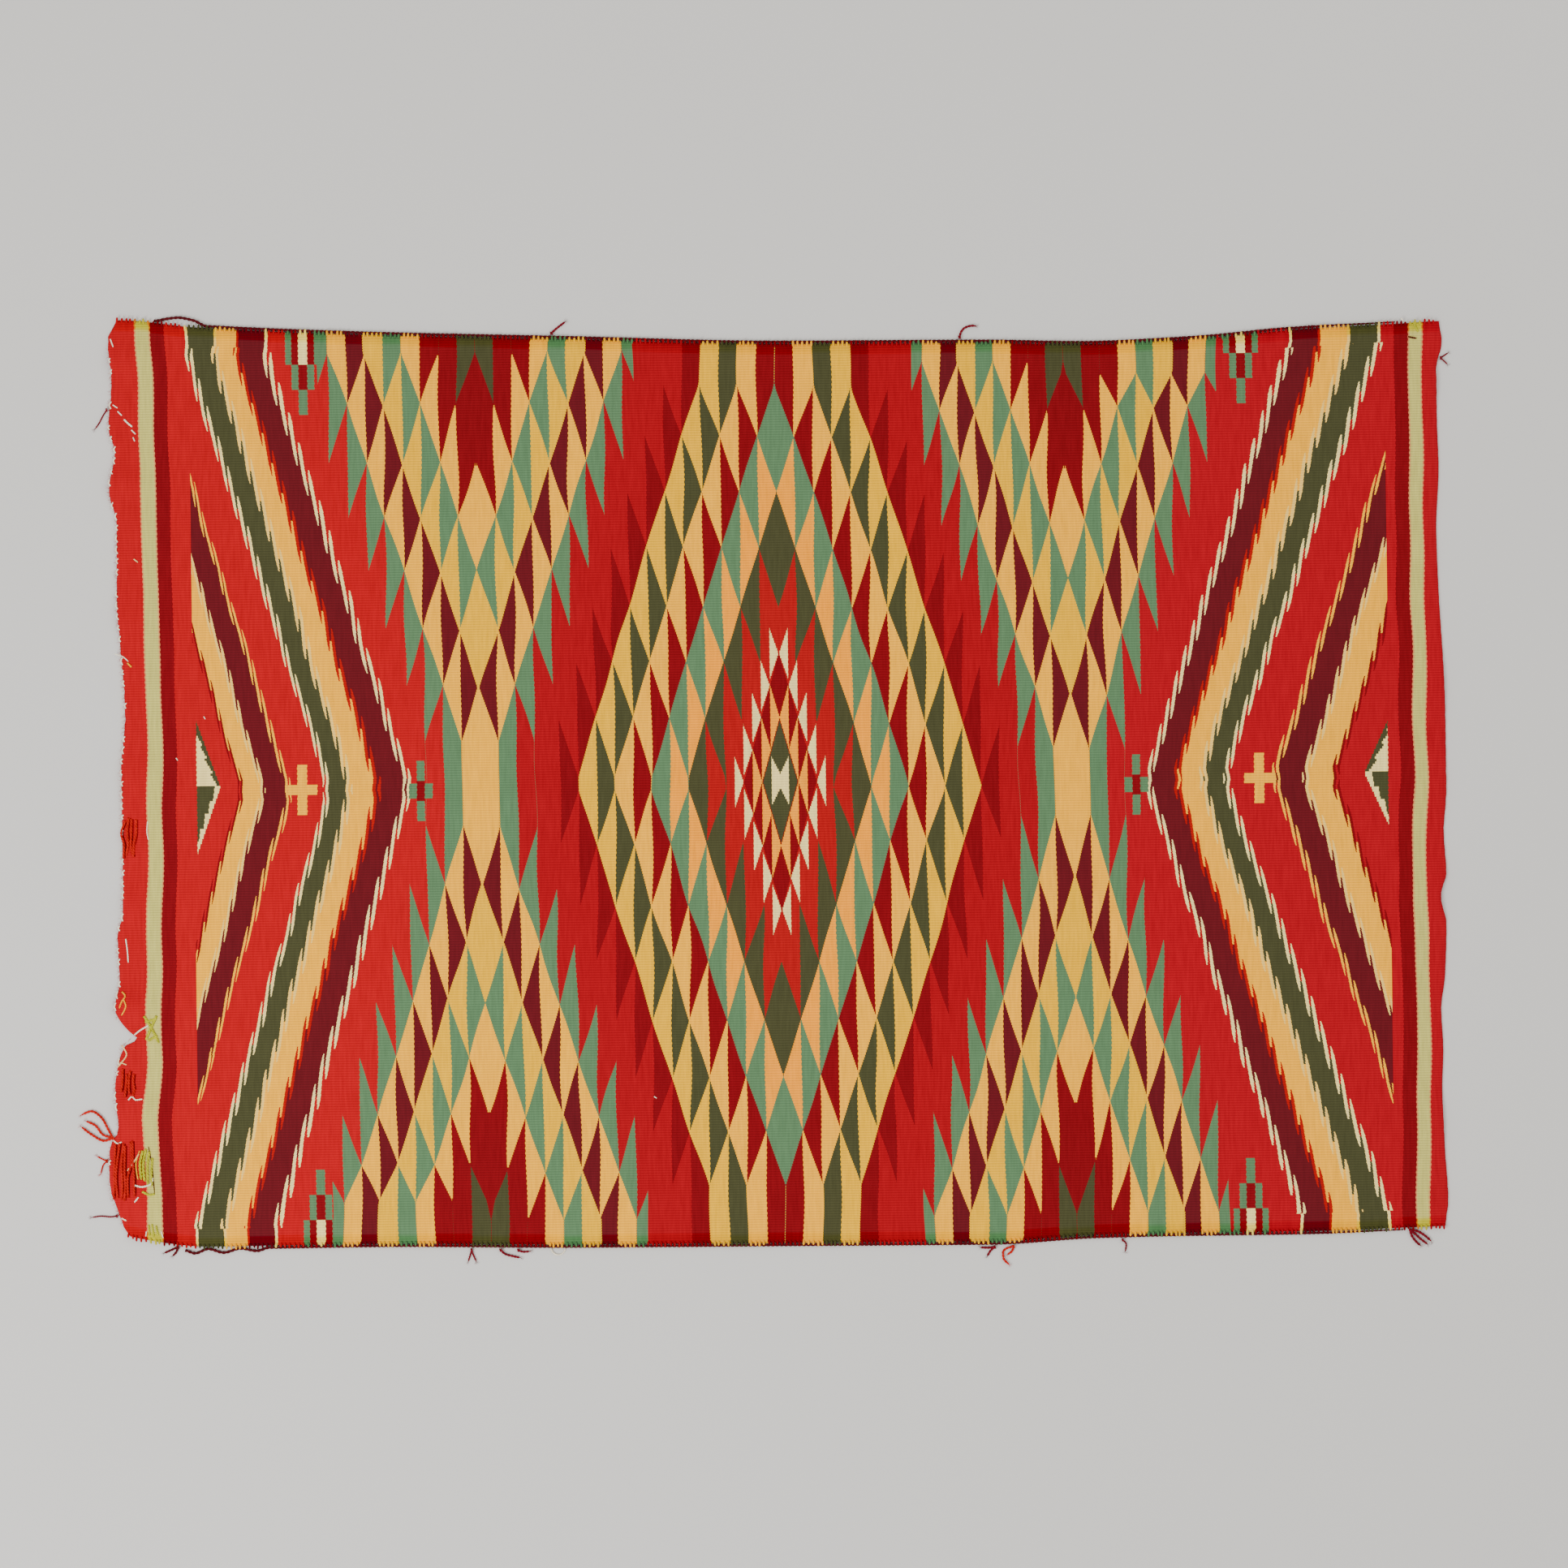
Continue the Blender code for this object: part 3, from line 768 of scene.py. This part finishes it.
along, across, thick = sheet_grid()
rows, columns = along.shape
count = rows * columns
floor_height = lift(along, across)
ripple = RIPPLE * np.sin(along * 61 + np.sin(across * 23) * 2) * np.sin(across * 83 + along * 19)
face = np.stack([along, across, floor_height + (SHEET_THICK + ripple) * thick], axis=2)
under = np.stack([along, across, floor_height], axis=2)[::2, ::2]
rim = np.concatenate([
    np.arange(columns - 1),
    np.arange(rows - 1) * columns + columns - 1,
    count - 1 - np.arange(columns - 1),
    (rows - 1 - np.arange(rows - 1)) * columns,
])
under_rows, under_columns = under.shape[:2]
rim_low = (rim // columns // 2) * under_columns + rim % columns // 2 + count
upper = np.roll(rim, -1)
lower = rim_low[::2]
wall = np.stack([rim[::2], lower, np.roll(lower, -1), np.roll(rim, -2)[::2], upper[::2]], axis=1)
cloth_points = np.concatenate([face.reshape(-1, 3), under.reshape(-1, 3)])
cloth_faces = [
    *grid_faces(rows, columns),
    *grid_faces(under_rows, under_columns, count)[:, ::-1],
    *wall,
]
wool_weave = weave_material()
cloth = add_piece("wool_cloth", cloth_points, cloth_faces, wool_weave)
place_design(cloth, cloth_points[:, 0] / PICK, cloth_points[:, 1] / PICK)
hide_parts("blanket_cloth")


# The wefts turn back round the edge cords. Each turn is a small tuft of spun wool in its own
# dye that reaches over the cord, a little longer or shorter than the next.
CORD_WIDE = 0.0030
TURN_SPACING = 0.0043
TURN_WIDE = 0.0021
TURN_REACH = 0.0028
TURN_START = 0.0030
TURN_STATIONS = 7
TURN_SCATTER = 0.0006
SHORTEST_TURN, LONGEST_TURN = 0.45, 1.25
CORNER_DEPTH = 0.004
CORNER_CLEAR = 0.003


def round_tube(route, radius, sides=6):
    """Points and faces of a closed tube along a route, its radius given at each station."""
    route = np.array(route, float)
    ahead = np.gradient(route, axis=0)
    ahead /= np.linalg.norm(ahead, axis=1)[:, None]
    side = np.cross(ahead, (0.0, 0.0, 1.0))
    side /= np.maximum(np.linalg.norm(side, axis=1), 1e-9)[:, None]
    rise = np.cross(side, ahead)
    turn = np.arange(sides) * 2 * math.pi / sides
    ring = np.cos(turn)[:, None] * side[:, None] + np.sin(turn)[:, None] * rise[:, None]
    reach = np.broadcast_to(radius, len(route))[:, None, None]
    points = (route[:, None] + ring * reach).reshape(-1, 3)
    first = list(range(sides))
    last = [(len(route) - 1) * sides + k for k in first]
    return points, [*grid_faces(len(route), sides, close=True)[:, ::-1].tolist(), first, last[::-1]]


def gathered(tubes):
    """The points and faces of many tubes as one mesh's."""
    points, faces, start = [], [], 0
    for tube_points, tube_faces in tubes:
        points.append(tube_points)
        faces += [[start + i for i in face] for face in tube_faces]
        start += len(tube_points)
    return np.concatenate(points), faces


def weft_turns(edge, outward, chance):
    """Tubes of the tufts along one edge, and the place in the design that each is dyed for."""
    corner = float(edge(-HALF_LENGTH)) - outward * CORNER_DEPTH
    first = float(left_end(corner)) + CORNER_CLEAR
    places = np.arange(first, float(right_end(corner)) - CORNER_CLEAR, TURN_SPACING)
    places = places + chance.uniform(-TURN_SCATTER, TURN_SCATTER, len(places))
    reaches = TURN_REACH * chance.uniform(SHORTEST_TURN, LONGEST_TURN, len(places))
    step = np.linspace(0, 1, TURN_STATIONS)
    radius = TURN_WIDE / 2 * np.sqrt(np.maximum(1 - (2 * step - 1) ** 4, 0.02))
    tubes, seats = [], []
    for place, reach in zip(places, reaches):
        start = edge(place) - outward * TURN_START
        across = start + outward * (TURN_START + reach) * step
        along = place + 0.0004 * math.sin(place * 4000) * step
        height = lift(place, start) + SHEET_THICK - 0.0002 + 0.0011 * np.sin(step * 2.4)
        points, faces = round_tube(np.stack([along + 0 * step, across, height], axis=1), radius)
        tubes.append((points, faces))
        seats.append(np.broadcast_to([place, start], (len(points), 2)))
    return tubes, seats


chance = np.random.default_rng(11)
for name, edge, outward in (("top", top_edge, 1), ("bottom", bottom_edge, -1)):
    turn_tubes, turn_seats = weft_turns(edge, outward, chance)
    turns = add_piece(f"weft_turns_{name}", *gathered(turn_tubes), wool_weave)
    place_design(turns, *(np.concatenate(turn_seats) / PICK).T)


# Each edge cord is two plies of dark red wool twined round each other, one turn to two of the
# wefts' tufts. It hangs a little loose by the corner on the left.
# Columns: place along the blanket, how far the cord stands off the weave's edge.
TOP_CORD_SLACK = [
    (-0.597, 0.0000),
    (-0.585, 0.0034),
    (-0.571, 0.0062),
    (-0.559, 0.0048),
    (-0.546, 0.0000),
    (0.300, 0.0000),
    (0.597, 0.0000),
]
BOTTOM_CORD_SLACK = [
    (-0.578, 0.0030),
    (-0.569, 0.0050),
    (-0.556, 0.0004),
    (-0.541, 0.0042),
    (-0.525, 0.0004),
    (-0.509, 0.0030),
    (-0.497, 0.0000),
    (0.300, 0.0000),
    (0.594, 0.0000),
]
CORD_PITCH = 0.0086
PLY_STEPS = 9

# How far a ply lies off its yarn's middle, and its radius, as shares of the yarn's width.
PLY_OFF = 0.22
PLY_RADIUS = 0.29


def twisted(route, width, pitch, tip=0.45):
    """Tubes of a twisted yarn: two plies wind round the route, and taper over the last tenth."""
    route = np.array(route, float)
    run = np.concatenate([[0], np.cumsum(np.linalg.norm(np.diff(route, axis=0), axis=1))])
    at = np.linspace(0, run[-1], max(6, int(run[-1] / pitch * PLY_STEPS)))
    line = np.stack([np.interp(at, run, route[:, axis]) for axis in range(3)], axis=1)
    ahead = np.gradient(line, axis=0)
    side = np.stack([ahead[:, 1], -ahead[:, 0], 0 * at], axis=1)
    side /= np.maximum(np.linalg.norm(side, axis=1), 1e-9)[:, None]
    taper = 1 - (1 - tip) * np.clip((at / run[-1] - 0.9) * 10, 0, 1)
    tubes = []
    for start in (0.0, 0.5):
        turn = 2 * math.pi * (at / pitch + start)
        off = side * np.cos(turn)[:, None] + np.array([0, 0, 1.0]) * np.sin(turn)[:, None]
        ply = line + off * (width * PLY_OFF * taper)[:, None]
        tubes.append(round_tube(ply, width * PLY_RADIUS * taper))
    return tubes


def yarn_material(name, colour, uneven=0.5):
    """Spun wool or cotton: one colour, shaded by its uneven fibres, with a fine fibrous bump."""
    matt = {"Roughness": 0.95, "Specular IOR Level": 0.06}
    material, tree, shader = new_material(name, matt)
    start = Wire(tree)
    place = start.node("ShaderNodeTexCoord", {}, {}, out="Object")
    patchy = start.noise(place, 260.0, 3.0)
    dye = start.node("ShaderNodeRGB", {}, {}).tinted(colour)
    tree.links.new(dye.shaded(1 - uneven + 2 * uneven * patchy).socket, shader.inputs["Base Color"])
    fibres = {"Strength": 0.5, "Distance": 0.0003, "Height": start.noise(place, 2400.0, 2.0)}
    tree.links.new(start.node("ShaderNodeBump", {}, fibres).socket, shader.inputs["Normal"])
    return material


cord_wool = yarn_material("cord_wool", (0.085, 0.006, 0.009))
for name, edge, outward, slack in (
    ("top", top_edge, 1, TOP_CORD_SLACK),
    ("bottom", bottom_edge, -1, BOTTOM_CORD_SLACK),
):
    stand_off = smooth_curve(slack)
    place = np.arange(slack[0][0], slack[-1][0], 0.001)
    beside = edge(place) + outward * (PIECE_GAP + CORD_WIDE / 2 + stand_off(place))
    base = np.where(stand_off(place) > PIECE_GAP, 0.0, lift(place, beside))
    cord_route = np.stack([place, beside, base + CORD_WIDE / 2], axis=1)
    cord_tubes = twisted(cord_route, CORD_WIDE, CORD_PITCH)
    cord = add_piece(f"twined_cord_{name}", *gathered(cord_tubes), cord_wool)
    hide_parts(f"selvedge_cord_{name}")


# Broken and knotted ends of cord and weft: plied wool on the floor, each held by a knot at its
# root and frayed to loose hairs at its tip.
# Columns: node, wool, width of a strand, edge, the knot's place along it, and the strands'
# routes as steps from the knot.
LOOSE_ENDS = [
    ("loose_end_bottom_1", "crimson", 0.0018, "bottom", -0.3028, [
        [(-0.0012, -0.0042), (-0.0034, -0.0112)],
        [(0.0012, -0.0042), (0.0042, -0.0112)],
    ]),
    ("loose_end_bottom_2", "crimson", 0.0024, "bottom", -0.2747, [
        [(0.0035, -0.0036), (0.0117, -0.0062), (0.0181, -0.0076)],
    ]),
    ("loose_end_bottom_3", "crimson", 0.0022, "bottom", -0.2577, [
        [(0.0047, -0.0018), (0.0107, -0.0014)],
    ]),
    ("loose_end_bottom_4", "crimson", 0.0024, "bottom", 0.2000, [
        [(-0.0038, -0.0032), (-0.0072, -0.0086)],
        [(-0.0070, -0.0006), (-0.0134, -0.0002)],
    ]),
    ("loose_end_bottom_5", "scarlet", 0.0024, "bottom", 0.2180, [
        [(-0.0056, -0.0014), (-0.0100, -0.0050), (-0.0098, -0.0106), (-0.0044, -0.0172)],
        [(-0.0010, -0.0040), (-0.0056, -0.0076)],
    ]),
    ("loose_end_bottom_6", "crimson", 0.0018, "bottom", 0.3232, [
        [(0.0034, -0.0044), (0.0024, -0.0108)],
    ]),
    ("loose_end_top_1", "crimson", 0.0024, "top", -0.2150, [
        [(0.0040, 0.0038), (0.0130, 0.0106)],
    ]),
    ("loose_end_top_2", "crimson", 0.0024, "top", 0.1772, [
        [(0.0014, 0.0048), (0.0058, 0.0094), (0.0128, 0.0110), (0.0162, 0.0104)],
    ]),
    ("corner_tassel_lower_right", "crimson", 0.0026, "bottom", 0.5995, [
        [(0.0050, -0.0008), (0.0125, -0.0046), (0.0201, -0.0112)],
        [(0.0046, -0.0038), (0.0100, -0.0090), (0.0164, -0.0140)],
        [(0.0012, -0.0048), (0.0054, -0.0112), (0.0100, -0.0154)],
    ]),
    ("corner_yarn_lower_left", "maroon", 0.0024, "bottom", -0.5850, [
        [(-0.0052, -0.0024), (-0.0130, -0.0056)],
        [(-0.0014, -0.0044), (-0.0050, -0.0084)],
    ]),
    ("yarn_bundle_left", "scarlet", 0.0026, "left", -0.3300, [
        [(-0.0040, 0.0075), (-0.0110, 0.0200), (-0.0205, 0.0260), (-0.0300, 0.0225)],
        [(-0.0090, 0.0030), (-0.0170, 0.0125), (-0.0255, 0.0165)],
        [(-0.0085, -0.0025), (-0.0195, 0.0030), (-0.0300, 0.0110)],
    ]),
    ("yarn_fray_left_1", "scarlet", 0.0016, "left", -0.3520, [
        [(-0.0040, -0.0040), (-0.0062, -0.0120)],
        [(-0.0042, 0.0016), (-0.0094, 0.0044)],
    ]),
    ("yarn_fray_left_2", "crimson", 0.0016, "left", -0.4050, [
        [(-0.0062, -0.0008), (-0.0152, 0.0000), (-0.0242, -0.0012)],
    ]),
    ("yarn_fray_left_3", "crimson", 0.0016, "left", 0.3700, [
        [(-0.0034, -0.0050), (-0.0078, -0.0130), (-0.0114, -0.0180)],
    ]),
    ("yarn_fray_right", "crimson", 0.0016, "right", 0.4040, [
        [(0.0035, 0.0022), (0.0071, 0.0046)],
        [(0.0031, -0.0026), (0.0065, -0.0060)],
    ]),
]
KNOT_HALF = 0.0018
HAIR_RADIUS = 0.00011
EDGES = {"top": top_edge, "bottom": bottom_edge, "left": left_end, "right": right_end}
WOOLS = {
    "crimson": yarn_material("crimson_wool", (0.170, 0.006, 0.014)),
    "scarlet": yarn_material("scarlet_wool", (0.470, 0.010, 0.006)),
    "maroon": yarn_material("maroon_wool", (0.110, 0.006, 0.010)),
}


def knot_place(side, place):
    """Where a knot lies: the piece gap clear of its end of the weave, or of the edge cord."""
    slack = {"top": TOP_CORD_SLACK, "bottom": BOTTOM_CORD_SLACK}.get(side)
    clear = PIECE_GAP + KNOT_HALF
    if slack and slack[0][0] < place < slack[-1][0]:
        clear += PIECE_GAP + CORD_WIDE + float(smooth_curve(slack)(place))
    outward = 1 if side in ("top", "right") else -1
    away = float(EDGES[side](place)) + outward * clear
    return (place, away) if side in ("top", "bottom") else (away, place)


def smooth_line(places, height, step=0.0008):
    """A smooth line through level places, at one height or at a height for each place."""
    places = np.array(places, float)
    run = np.concatenate([[0], np.cumsum(np.linalg.norm(np.diff(places, axis=0), axis=1))])
    at = np.linspace(0, run[-1], max(4, int(run[-1] / step)))
    level = [smooth_curve(list(zip(run, places[:, axis])))(at) for axis in range(2)]
    return np.stack([*level, np.interp(at, run, np.broadcast_to(height, len(run)))], axis=1)


def hairs(root, heading, count, length, chance, radius=HAIR_RADIUS, spread=0.5):
    """Tubes of loose fibres that fan out from a root about a heading, each bowed a little."""
    tubes = []
    for turn, long, bow in chance.uniform((-1, 0.5, -1), (1, 1, 1), (count, 3)):
        angle = heading + turn * spread
        t = np.linspace(0, 1, 5)
        bend = angle + bow * 0.9 * t
        reach = length * long * t
        line = np.stack([reach * np.cos(bend), reach * np.sin(bend), 0.0004 * np.sin(t * 3)], axis=1)
        tubes.append(round_tube(np.array(root) + line, radius * (1.2 - t * 0.7), 3))
    return tubes


def knot_wrap(knot, width):
    """Tubes of a small knot: a turn and a half of one yarn wound round the strands' roots."""
    turn = np.linspace(0, 3.1 * math.pi, 22)
    reach = KNOT_HALF - width * 0.26
    along = knot[0] + (turn / turn[-1] - 0.5) * width * 0.9
    across = knot[1] + reach * np.cos(turn)
    height = reach * 0.8 * (1 + np.sin(turn)) + width * 0.32
    return [round_tube(np.stack([along, across, height], axis=1), width * 0.27, 7)]


for node, wool, width, side, place, routes in LOOSE_ENDS:
    knot = knot_place(side, place)
    tubes = knot_wrap(knot, width)
    for number, steps in enumerate(routes, start=1):
        through = [knot] + [(knot[0] + x, knot[1] + y) for x, y in steps]
        heights = [width / 2 + 0.0004 * number] + [width / 2] * len(steps)
        line = smooth_line(through, heights)
        tubes += twisted(line, width, width * 2.6)
        heading = math.atan2(*(line[-1] - line[-4])[1::-1])
        tubes += hairs(line[-2], heading, 7, 0.0042, chance)
    ends = add_piece(f"{node}_yarn", *gathered(tubes), WOOLS[wool])
    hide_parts(node)


# White two-ply cotton: the warp that has slipped out below the bottom edge.
WARP_LOOP_WIDE = 0.0016
WARP_LOOP_PLACE = -0.2196
WARP_LOOP_HALF = 0.0066
WARP_LOOP_DROP = 0.0062
white_cotton = yarn_material("white_cotton", (0.86, 0.78, 0.60), 0.25)
turn = np.linspace(0, math.pi, 40)
loop_along = WARP_LOOP_PLACE - WARP_LOOP_HALF * np.cos(turn)
loop_start = bottom_edge(loop_along) - CORD_WIDE - 2 * PIECE_GAP
loop_across = loop_start - WARP_LOOP_DROP * np.sin(turn)
loop_route = np.stack([loop_along, loop_across, 0 * turn + WARP_LOOP_WIDE / 2], axis=1)
loop_tubes = twisted(loop_route, WARP_LOOP_WIDE, 0.004, tip=1.0)
warp_loop = add_piece("warp_loop_yarn", *gathered(loop_tubes), white_cotton)
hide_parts("warp_loop_bottom")


# At the worn left end, where the edge cord is lost, the white cotton warps show as small loops
# and the scarlet wefts fray to short hairs.
END_LOOP_SPACING = 0.0107
END_LOOP_WIDE = 0.0015
END_LOOP_HALF = 0.0034
END_LOOPS_SHOWN = 0.72
NOTCH = (-0.250, -0.210)
HAIR_SPACING = 0.0036

tubes = []
for place in np.arange(-0.396, 0.424, END_LOOP_SPACING):
    reach, lean, shown = chance.uniform((0.5, -0.0008, 0.0), (1.15, 0.0014, 1.0))
    if shown > END_LOOPS_SHOWN or NOTCH[0] < place < NOTCH[1]:
        continue
    end = float(left_end(place))
    half = END_LOOP_HALF * reach
    far_foot = (end + 0.0012 + lean, place + half)
    through = [(end + 0.0016, place - half), (end + lean * 0.3, place), far_foot]
    base = float(lift(end, place)) + SHEET_THICK
    line = smooth_line(through, [base, base - 0.0003, base])
    tubes += twisted(line, END_LOOP_WIDE, 0.0034, tip=1.0)
end_loops = add_piece("end_warp_loops", *gathered(tubes), white_cotton)

tubes = []
for place in np.arange(-0.415, 0.428, HAIR_SPACING):
    end = float(left_end(place))
    root = (end + 0.0006, place, float(lift(end, place)) + SHEET_THICK * 0.6)
    tubes += hairs(root, math.pi, int(chance.integers(1, 4)), 0.0040, chance, 0.00014, 1.1)
end_hairs = add_piece("end_weft_hairs", *gathered(tubes), WOOLS["scarlet"])


# Darning and loosened yarns on the face: lime wool crossed over the pale stripe, cotton and coloured
# threads stitched through the worn wefts, and wefts that have come loose side by side, with thin dark
# threads laid as painted shadow in the gaps, a slit and a hole.
# Columns: wool, width in picks, and the route in picks from the blanket's middle, read with the
# camera's small turn.
CAMERA_TURN = math.radians(-0.72)
FACE_THREADS = [
    ("cotton", 1.8, [(-826, 551), (-822, 541)]),
    ("cotton", 1.6, [(-823, 470), (-817, 466)]),
    ("cotton", 1.8, [(-817, 462), (-812, 457)]),
    ("cotton", 2.4, [(-809, 452), (-804, 447), (-799, 443)]),
    ("cotton", 1.8, [(-800, 439), (-795, 434)]),
    ("cotton", 1.6, [(-798, 430), (-796, 425)]),
    ("cotton", 1.5, [(-820, 163), (-811, 160), (-804, 154)]),
    ("cotton", 1.4, [(-780, -43), (-781, -55), (-779, -66)]),
    ("cotton", 1.8, [(-807, -188), (-805, -203), (-804, -217)]),
    ("cotton", 2.2, [(-796, -306), (-790, -301), (-778, -294)]),
    ("cotton", 2.0, [(-803, -386), (-799, -382), (-794, -386), (-786, -385)]),
    ("cotton", 2.0, [(-822, -436), (-817, -440), (-812, -438)]),
    ("cotton", 2.6, [(-795, -491), (-787, -493), (-775, -489), (-773, -482)]),
    ("cotton", 2.0, [(-796, -512), (-791, -506)]),
    ("cotton", 2.0, [(-812, -532), (-806, -535)]),
    ("cotton", 1.6, [(764, 577), (767, 573)]),
    ("cotton", 1.4, [(-156, -382), (-153, -384)]),
    ("cotton", 1.4, [(-745, 35), (-743, 32)]),
    ("cotton", 1.4, [(-711, 86), (-709, 83)]),
    ("gold", 2.2, [(-811, -253), (-807, -258), (-811, -265), (-814, -273)]),
    ("gold", 2.4, [(-805, 152), (-800, 147)]),
    ("gold", 1.8, [(-790, -449), (-794, -465), (-791, -484)]),
    ("gold", 2.0, [(-809, -262), (-806, -270), (-812, -282)]),
    ("pale", 2.0, [(-812, -319), (-806, -330), (-812, -340), (-817, -346)]),
    ("pale", 2.0, [(-791, -453), (-797, -463), (-804, -473)]),
    ("pale", 1.6, [(-814, -340), (-806, -343)]),
    ("pale", 1.8, [(-797, 280), (-792, 276)]),
    ("lime", 3.6, [(-784, -283), (-778, -293), (-771, -306), (-766, -316)]),
    ("lime", 3.6, [(-769, -283), (-775, -296), (-782, -312)]),
    ("lime", 3.2, [(-783, -290), (-771, -287)]),
    ("lime", 3.4, [(-779, -313), (-768, -307)]),
    ("lime", 3.8, [(-786, -449), (-789, -465), (-787, -484)]),
    ("lime", 3.8, [(-782, -447), (-785, -466), (-783, -486)]),
    ("lime", 3.6, [(-778, -450), (-780, -470), (-779, -490)]),
    ("lime", 3.2, [(-774, -458), (-775, -476), (-774, -492)]),
    ("lime", 3.2, [(-786, -499), (-777, -503), (-771, -502)]),
    ("lime", 2.4, [(-778, -540), (-777, -553)]),
    ("lime", 2.4, [(-774, -539), (-772, -555)]),
    ("lime", 2.4, [(-769, -541), (-767, -553)]),
    ("cotton", 1.6, [(-781, -548), (-782, -554)]),
    ("cotton", 1.6, [(-763, -548), (-761, -556)]),
    ("lime", 2.2, [(779, 572), (785, 560)]),
    # Painted shadow: two thin dark threads, one in the slit beside the lime darn, one in the hole at
    # the top of the right pale stripe.
    ("shade", 1.3, [(-779, -444), (-774, -470), (-771, -502)]),
    ("shade", 2.2, [(773, 554), (783, 552)]),
]
# Columns: patch of loosened wefts' left, width, top and bottom, and how far each yarn wanders.
LOOSE_PATCHES = [(-822, 30, -440, -508, 2.5), (-811, 20, -42, -88, 4.0), (-812, 20, -352, -380, 2.0)]
LOOSE_YARN_SPACING = 5.0


def face_route(route, wide):
    """A smooth line over the face, through places in picks read with the camera's turn."""
    places = np.array(route, float) * PICK
    turned = math.tan(-CAMERA_TURN)
    level = places + turned * places[:, ::-1] * (1, -1)
    line = smooth_line(level, 0.0)
    line[:, 2] = lift(line[:, 0], line[:, 1]) + SHEET_THICK + wide * 0.2
    return line


threads = list(FACE_THREADS)
for left, width, top, bottom, wander in LOOSE_PATCHES:
    for at in np.arange(left, left + width, LOOSE_YARN_SPACING):
        steps = chance.uniform(-wander, wander, 4)
        heights = np.linspace(top, bottom, 4) + chance.uniform(-4, 4)
        threads.append(("loose", 3.2, list(zip(at + steps, heights))))
        # Beside each loosened yarn lies a thin dark thread of painted shadow, for the shade in the
        # gap between two yarns.
        gap = chance.uniform(0.7, 1.1)
        threads.append(("shade", gap, list(zip(at + 2.3 + steps, heights))[: 3 + (gap > 0.9)]))
FACE_WOOLS = {
    "cotton": (white_cotton, "cotton_warp"),
    "gold": (yarn_material("gold_wool", (0.80, 0.36, 0.02)), "wool_weave"),
    "pale": (yarn_material("pale_wool", (0.86, 0.52, 0.22)), "wool_weave"),
    "lime": (yarn_material("lime_wool", (0.42, 0.42, 0.02)), "wool_weave"),
    "loose": (WOOLS["scarlet"], "scarlet_yarn"),
    # The shade wool is painted shadow: a near-black red laid where there is only shade.
    "shade": (yarn_material("painted_shadow_wool", (0.070, 0.004, 0.006)), "edge_cord"),
}
for wool, (material, slot) in FACE_WOOLS.items():
    tubes = []
    for thread_wool, picks_wide, route in threads:
        if thread_wool == wool:
            wide = picks_wide * PICK
            tubes += twisted(face_route(route, wide), wide, wide * 2.4, tip=0.6)
    threaded = add_piece(f"{wool}_threads", *gathered(tubes), material)


# The floor is plain pale board, and the light is a studio's: a large soft lamp from the lower
# left, a weaker one from the upper right, and an even grey-white surround.
FLOOR_SIZE = 8.0
floor_mesh = bpy.data.meshes.new("floor")
floor_points = np.array([(-1, -1, 0), (1, -1, 0), (1, 1, 0), (-1, 1, 0)]) * FLOOR_SIZE / 2
floor_points[:, 2] = -0.0002
floor_mesh.from_pydata(floor_points.tolist(), [], [(0, 1, 2, 3)])
floor = add_object("floor", floor_mesh)
board_looks = {"Roughness": 0.85, "Base Color": (0.60, 0.59, 0.57, 1.0)}
floor_mesh.materials.append(new_material("pale_board", board_looks)[0])


def add_lamp(name, place, size, power):
    """A square soft lamp that faces the blanket's middle."""
    lamp = bpy.data.lights.new(name, "AREA")
    lamp.size, lamp.energy = size, power
    made = add_object(name, lamp)
    made.location = place
    made.rotation_mode = "QUATERNION"
    made.rotation_quaternion = made.location.to_track_quat("Z", "Y")


add_lamp("key_lamp", (-1.9, -1.6, 2.6), 1.6, 107)
add_lamp("fill_lamp", (2.2, 1.8, 2.8), 2.2, 39)
surround = bpy.data.worlds.new("surround")
surround.use_nodes = True
surround.node_tree.nodes["Background"].inputs["Color"].default_value = (1.0, 0.98, 0.95, 1.0)
surround.node_tree.nodes["Background"].inputs["Strength"].default_value = 0.98
bpy.context.scene.world = surround


# The camera looks straight down on the blanket from 3.6 m, turned a little as the photograph
# is, with a lens that takes in the photograph's width there.
LENS_MM = 85.0
SENSOR_MM = 36.0
PHOTO_PIXELS = 1932
CAMERA_OVER = (0.0212, 0.0036)

camera_data = bpy.data.cameras.new("camera")
camera_data.lens, camera_data.sensor_width = LENS_MM, SENSOR_MM
camera = add_object("camera", camera_data)
distance = PHOTO_PIXELS * PICK * LENS_MM / SENSOR_MM
camera.location = (*CAMERA_OVER, distance + SHEET_THICK)
camera.rotation_euler = (0.0, 0.0, CAMERA_TURN)
bpy.context.scene.camera = camera

# The sheet's flat area between its long edges, since it lies flat; its cords, turns and threads ride
# on the same part.
sheet_area = float(np.trapz(top_edge(along[0]) - bottom_edge(along[0]), along[0]))
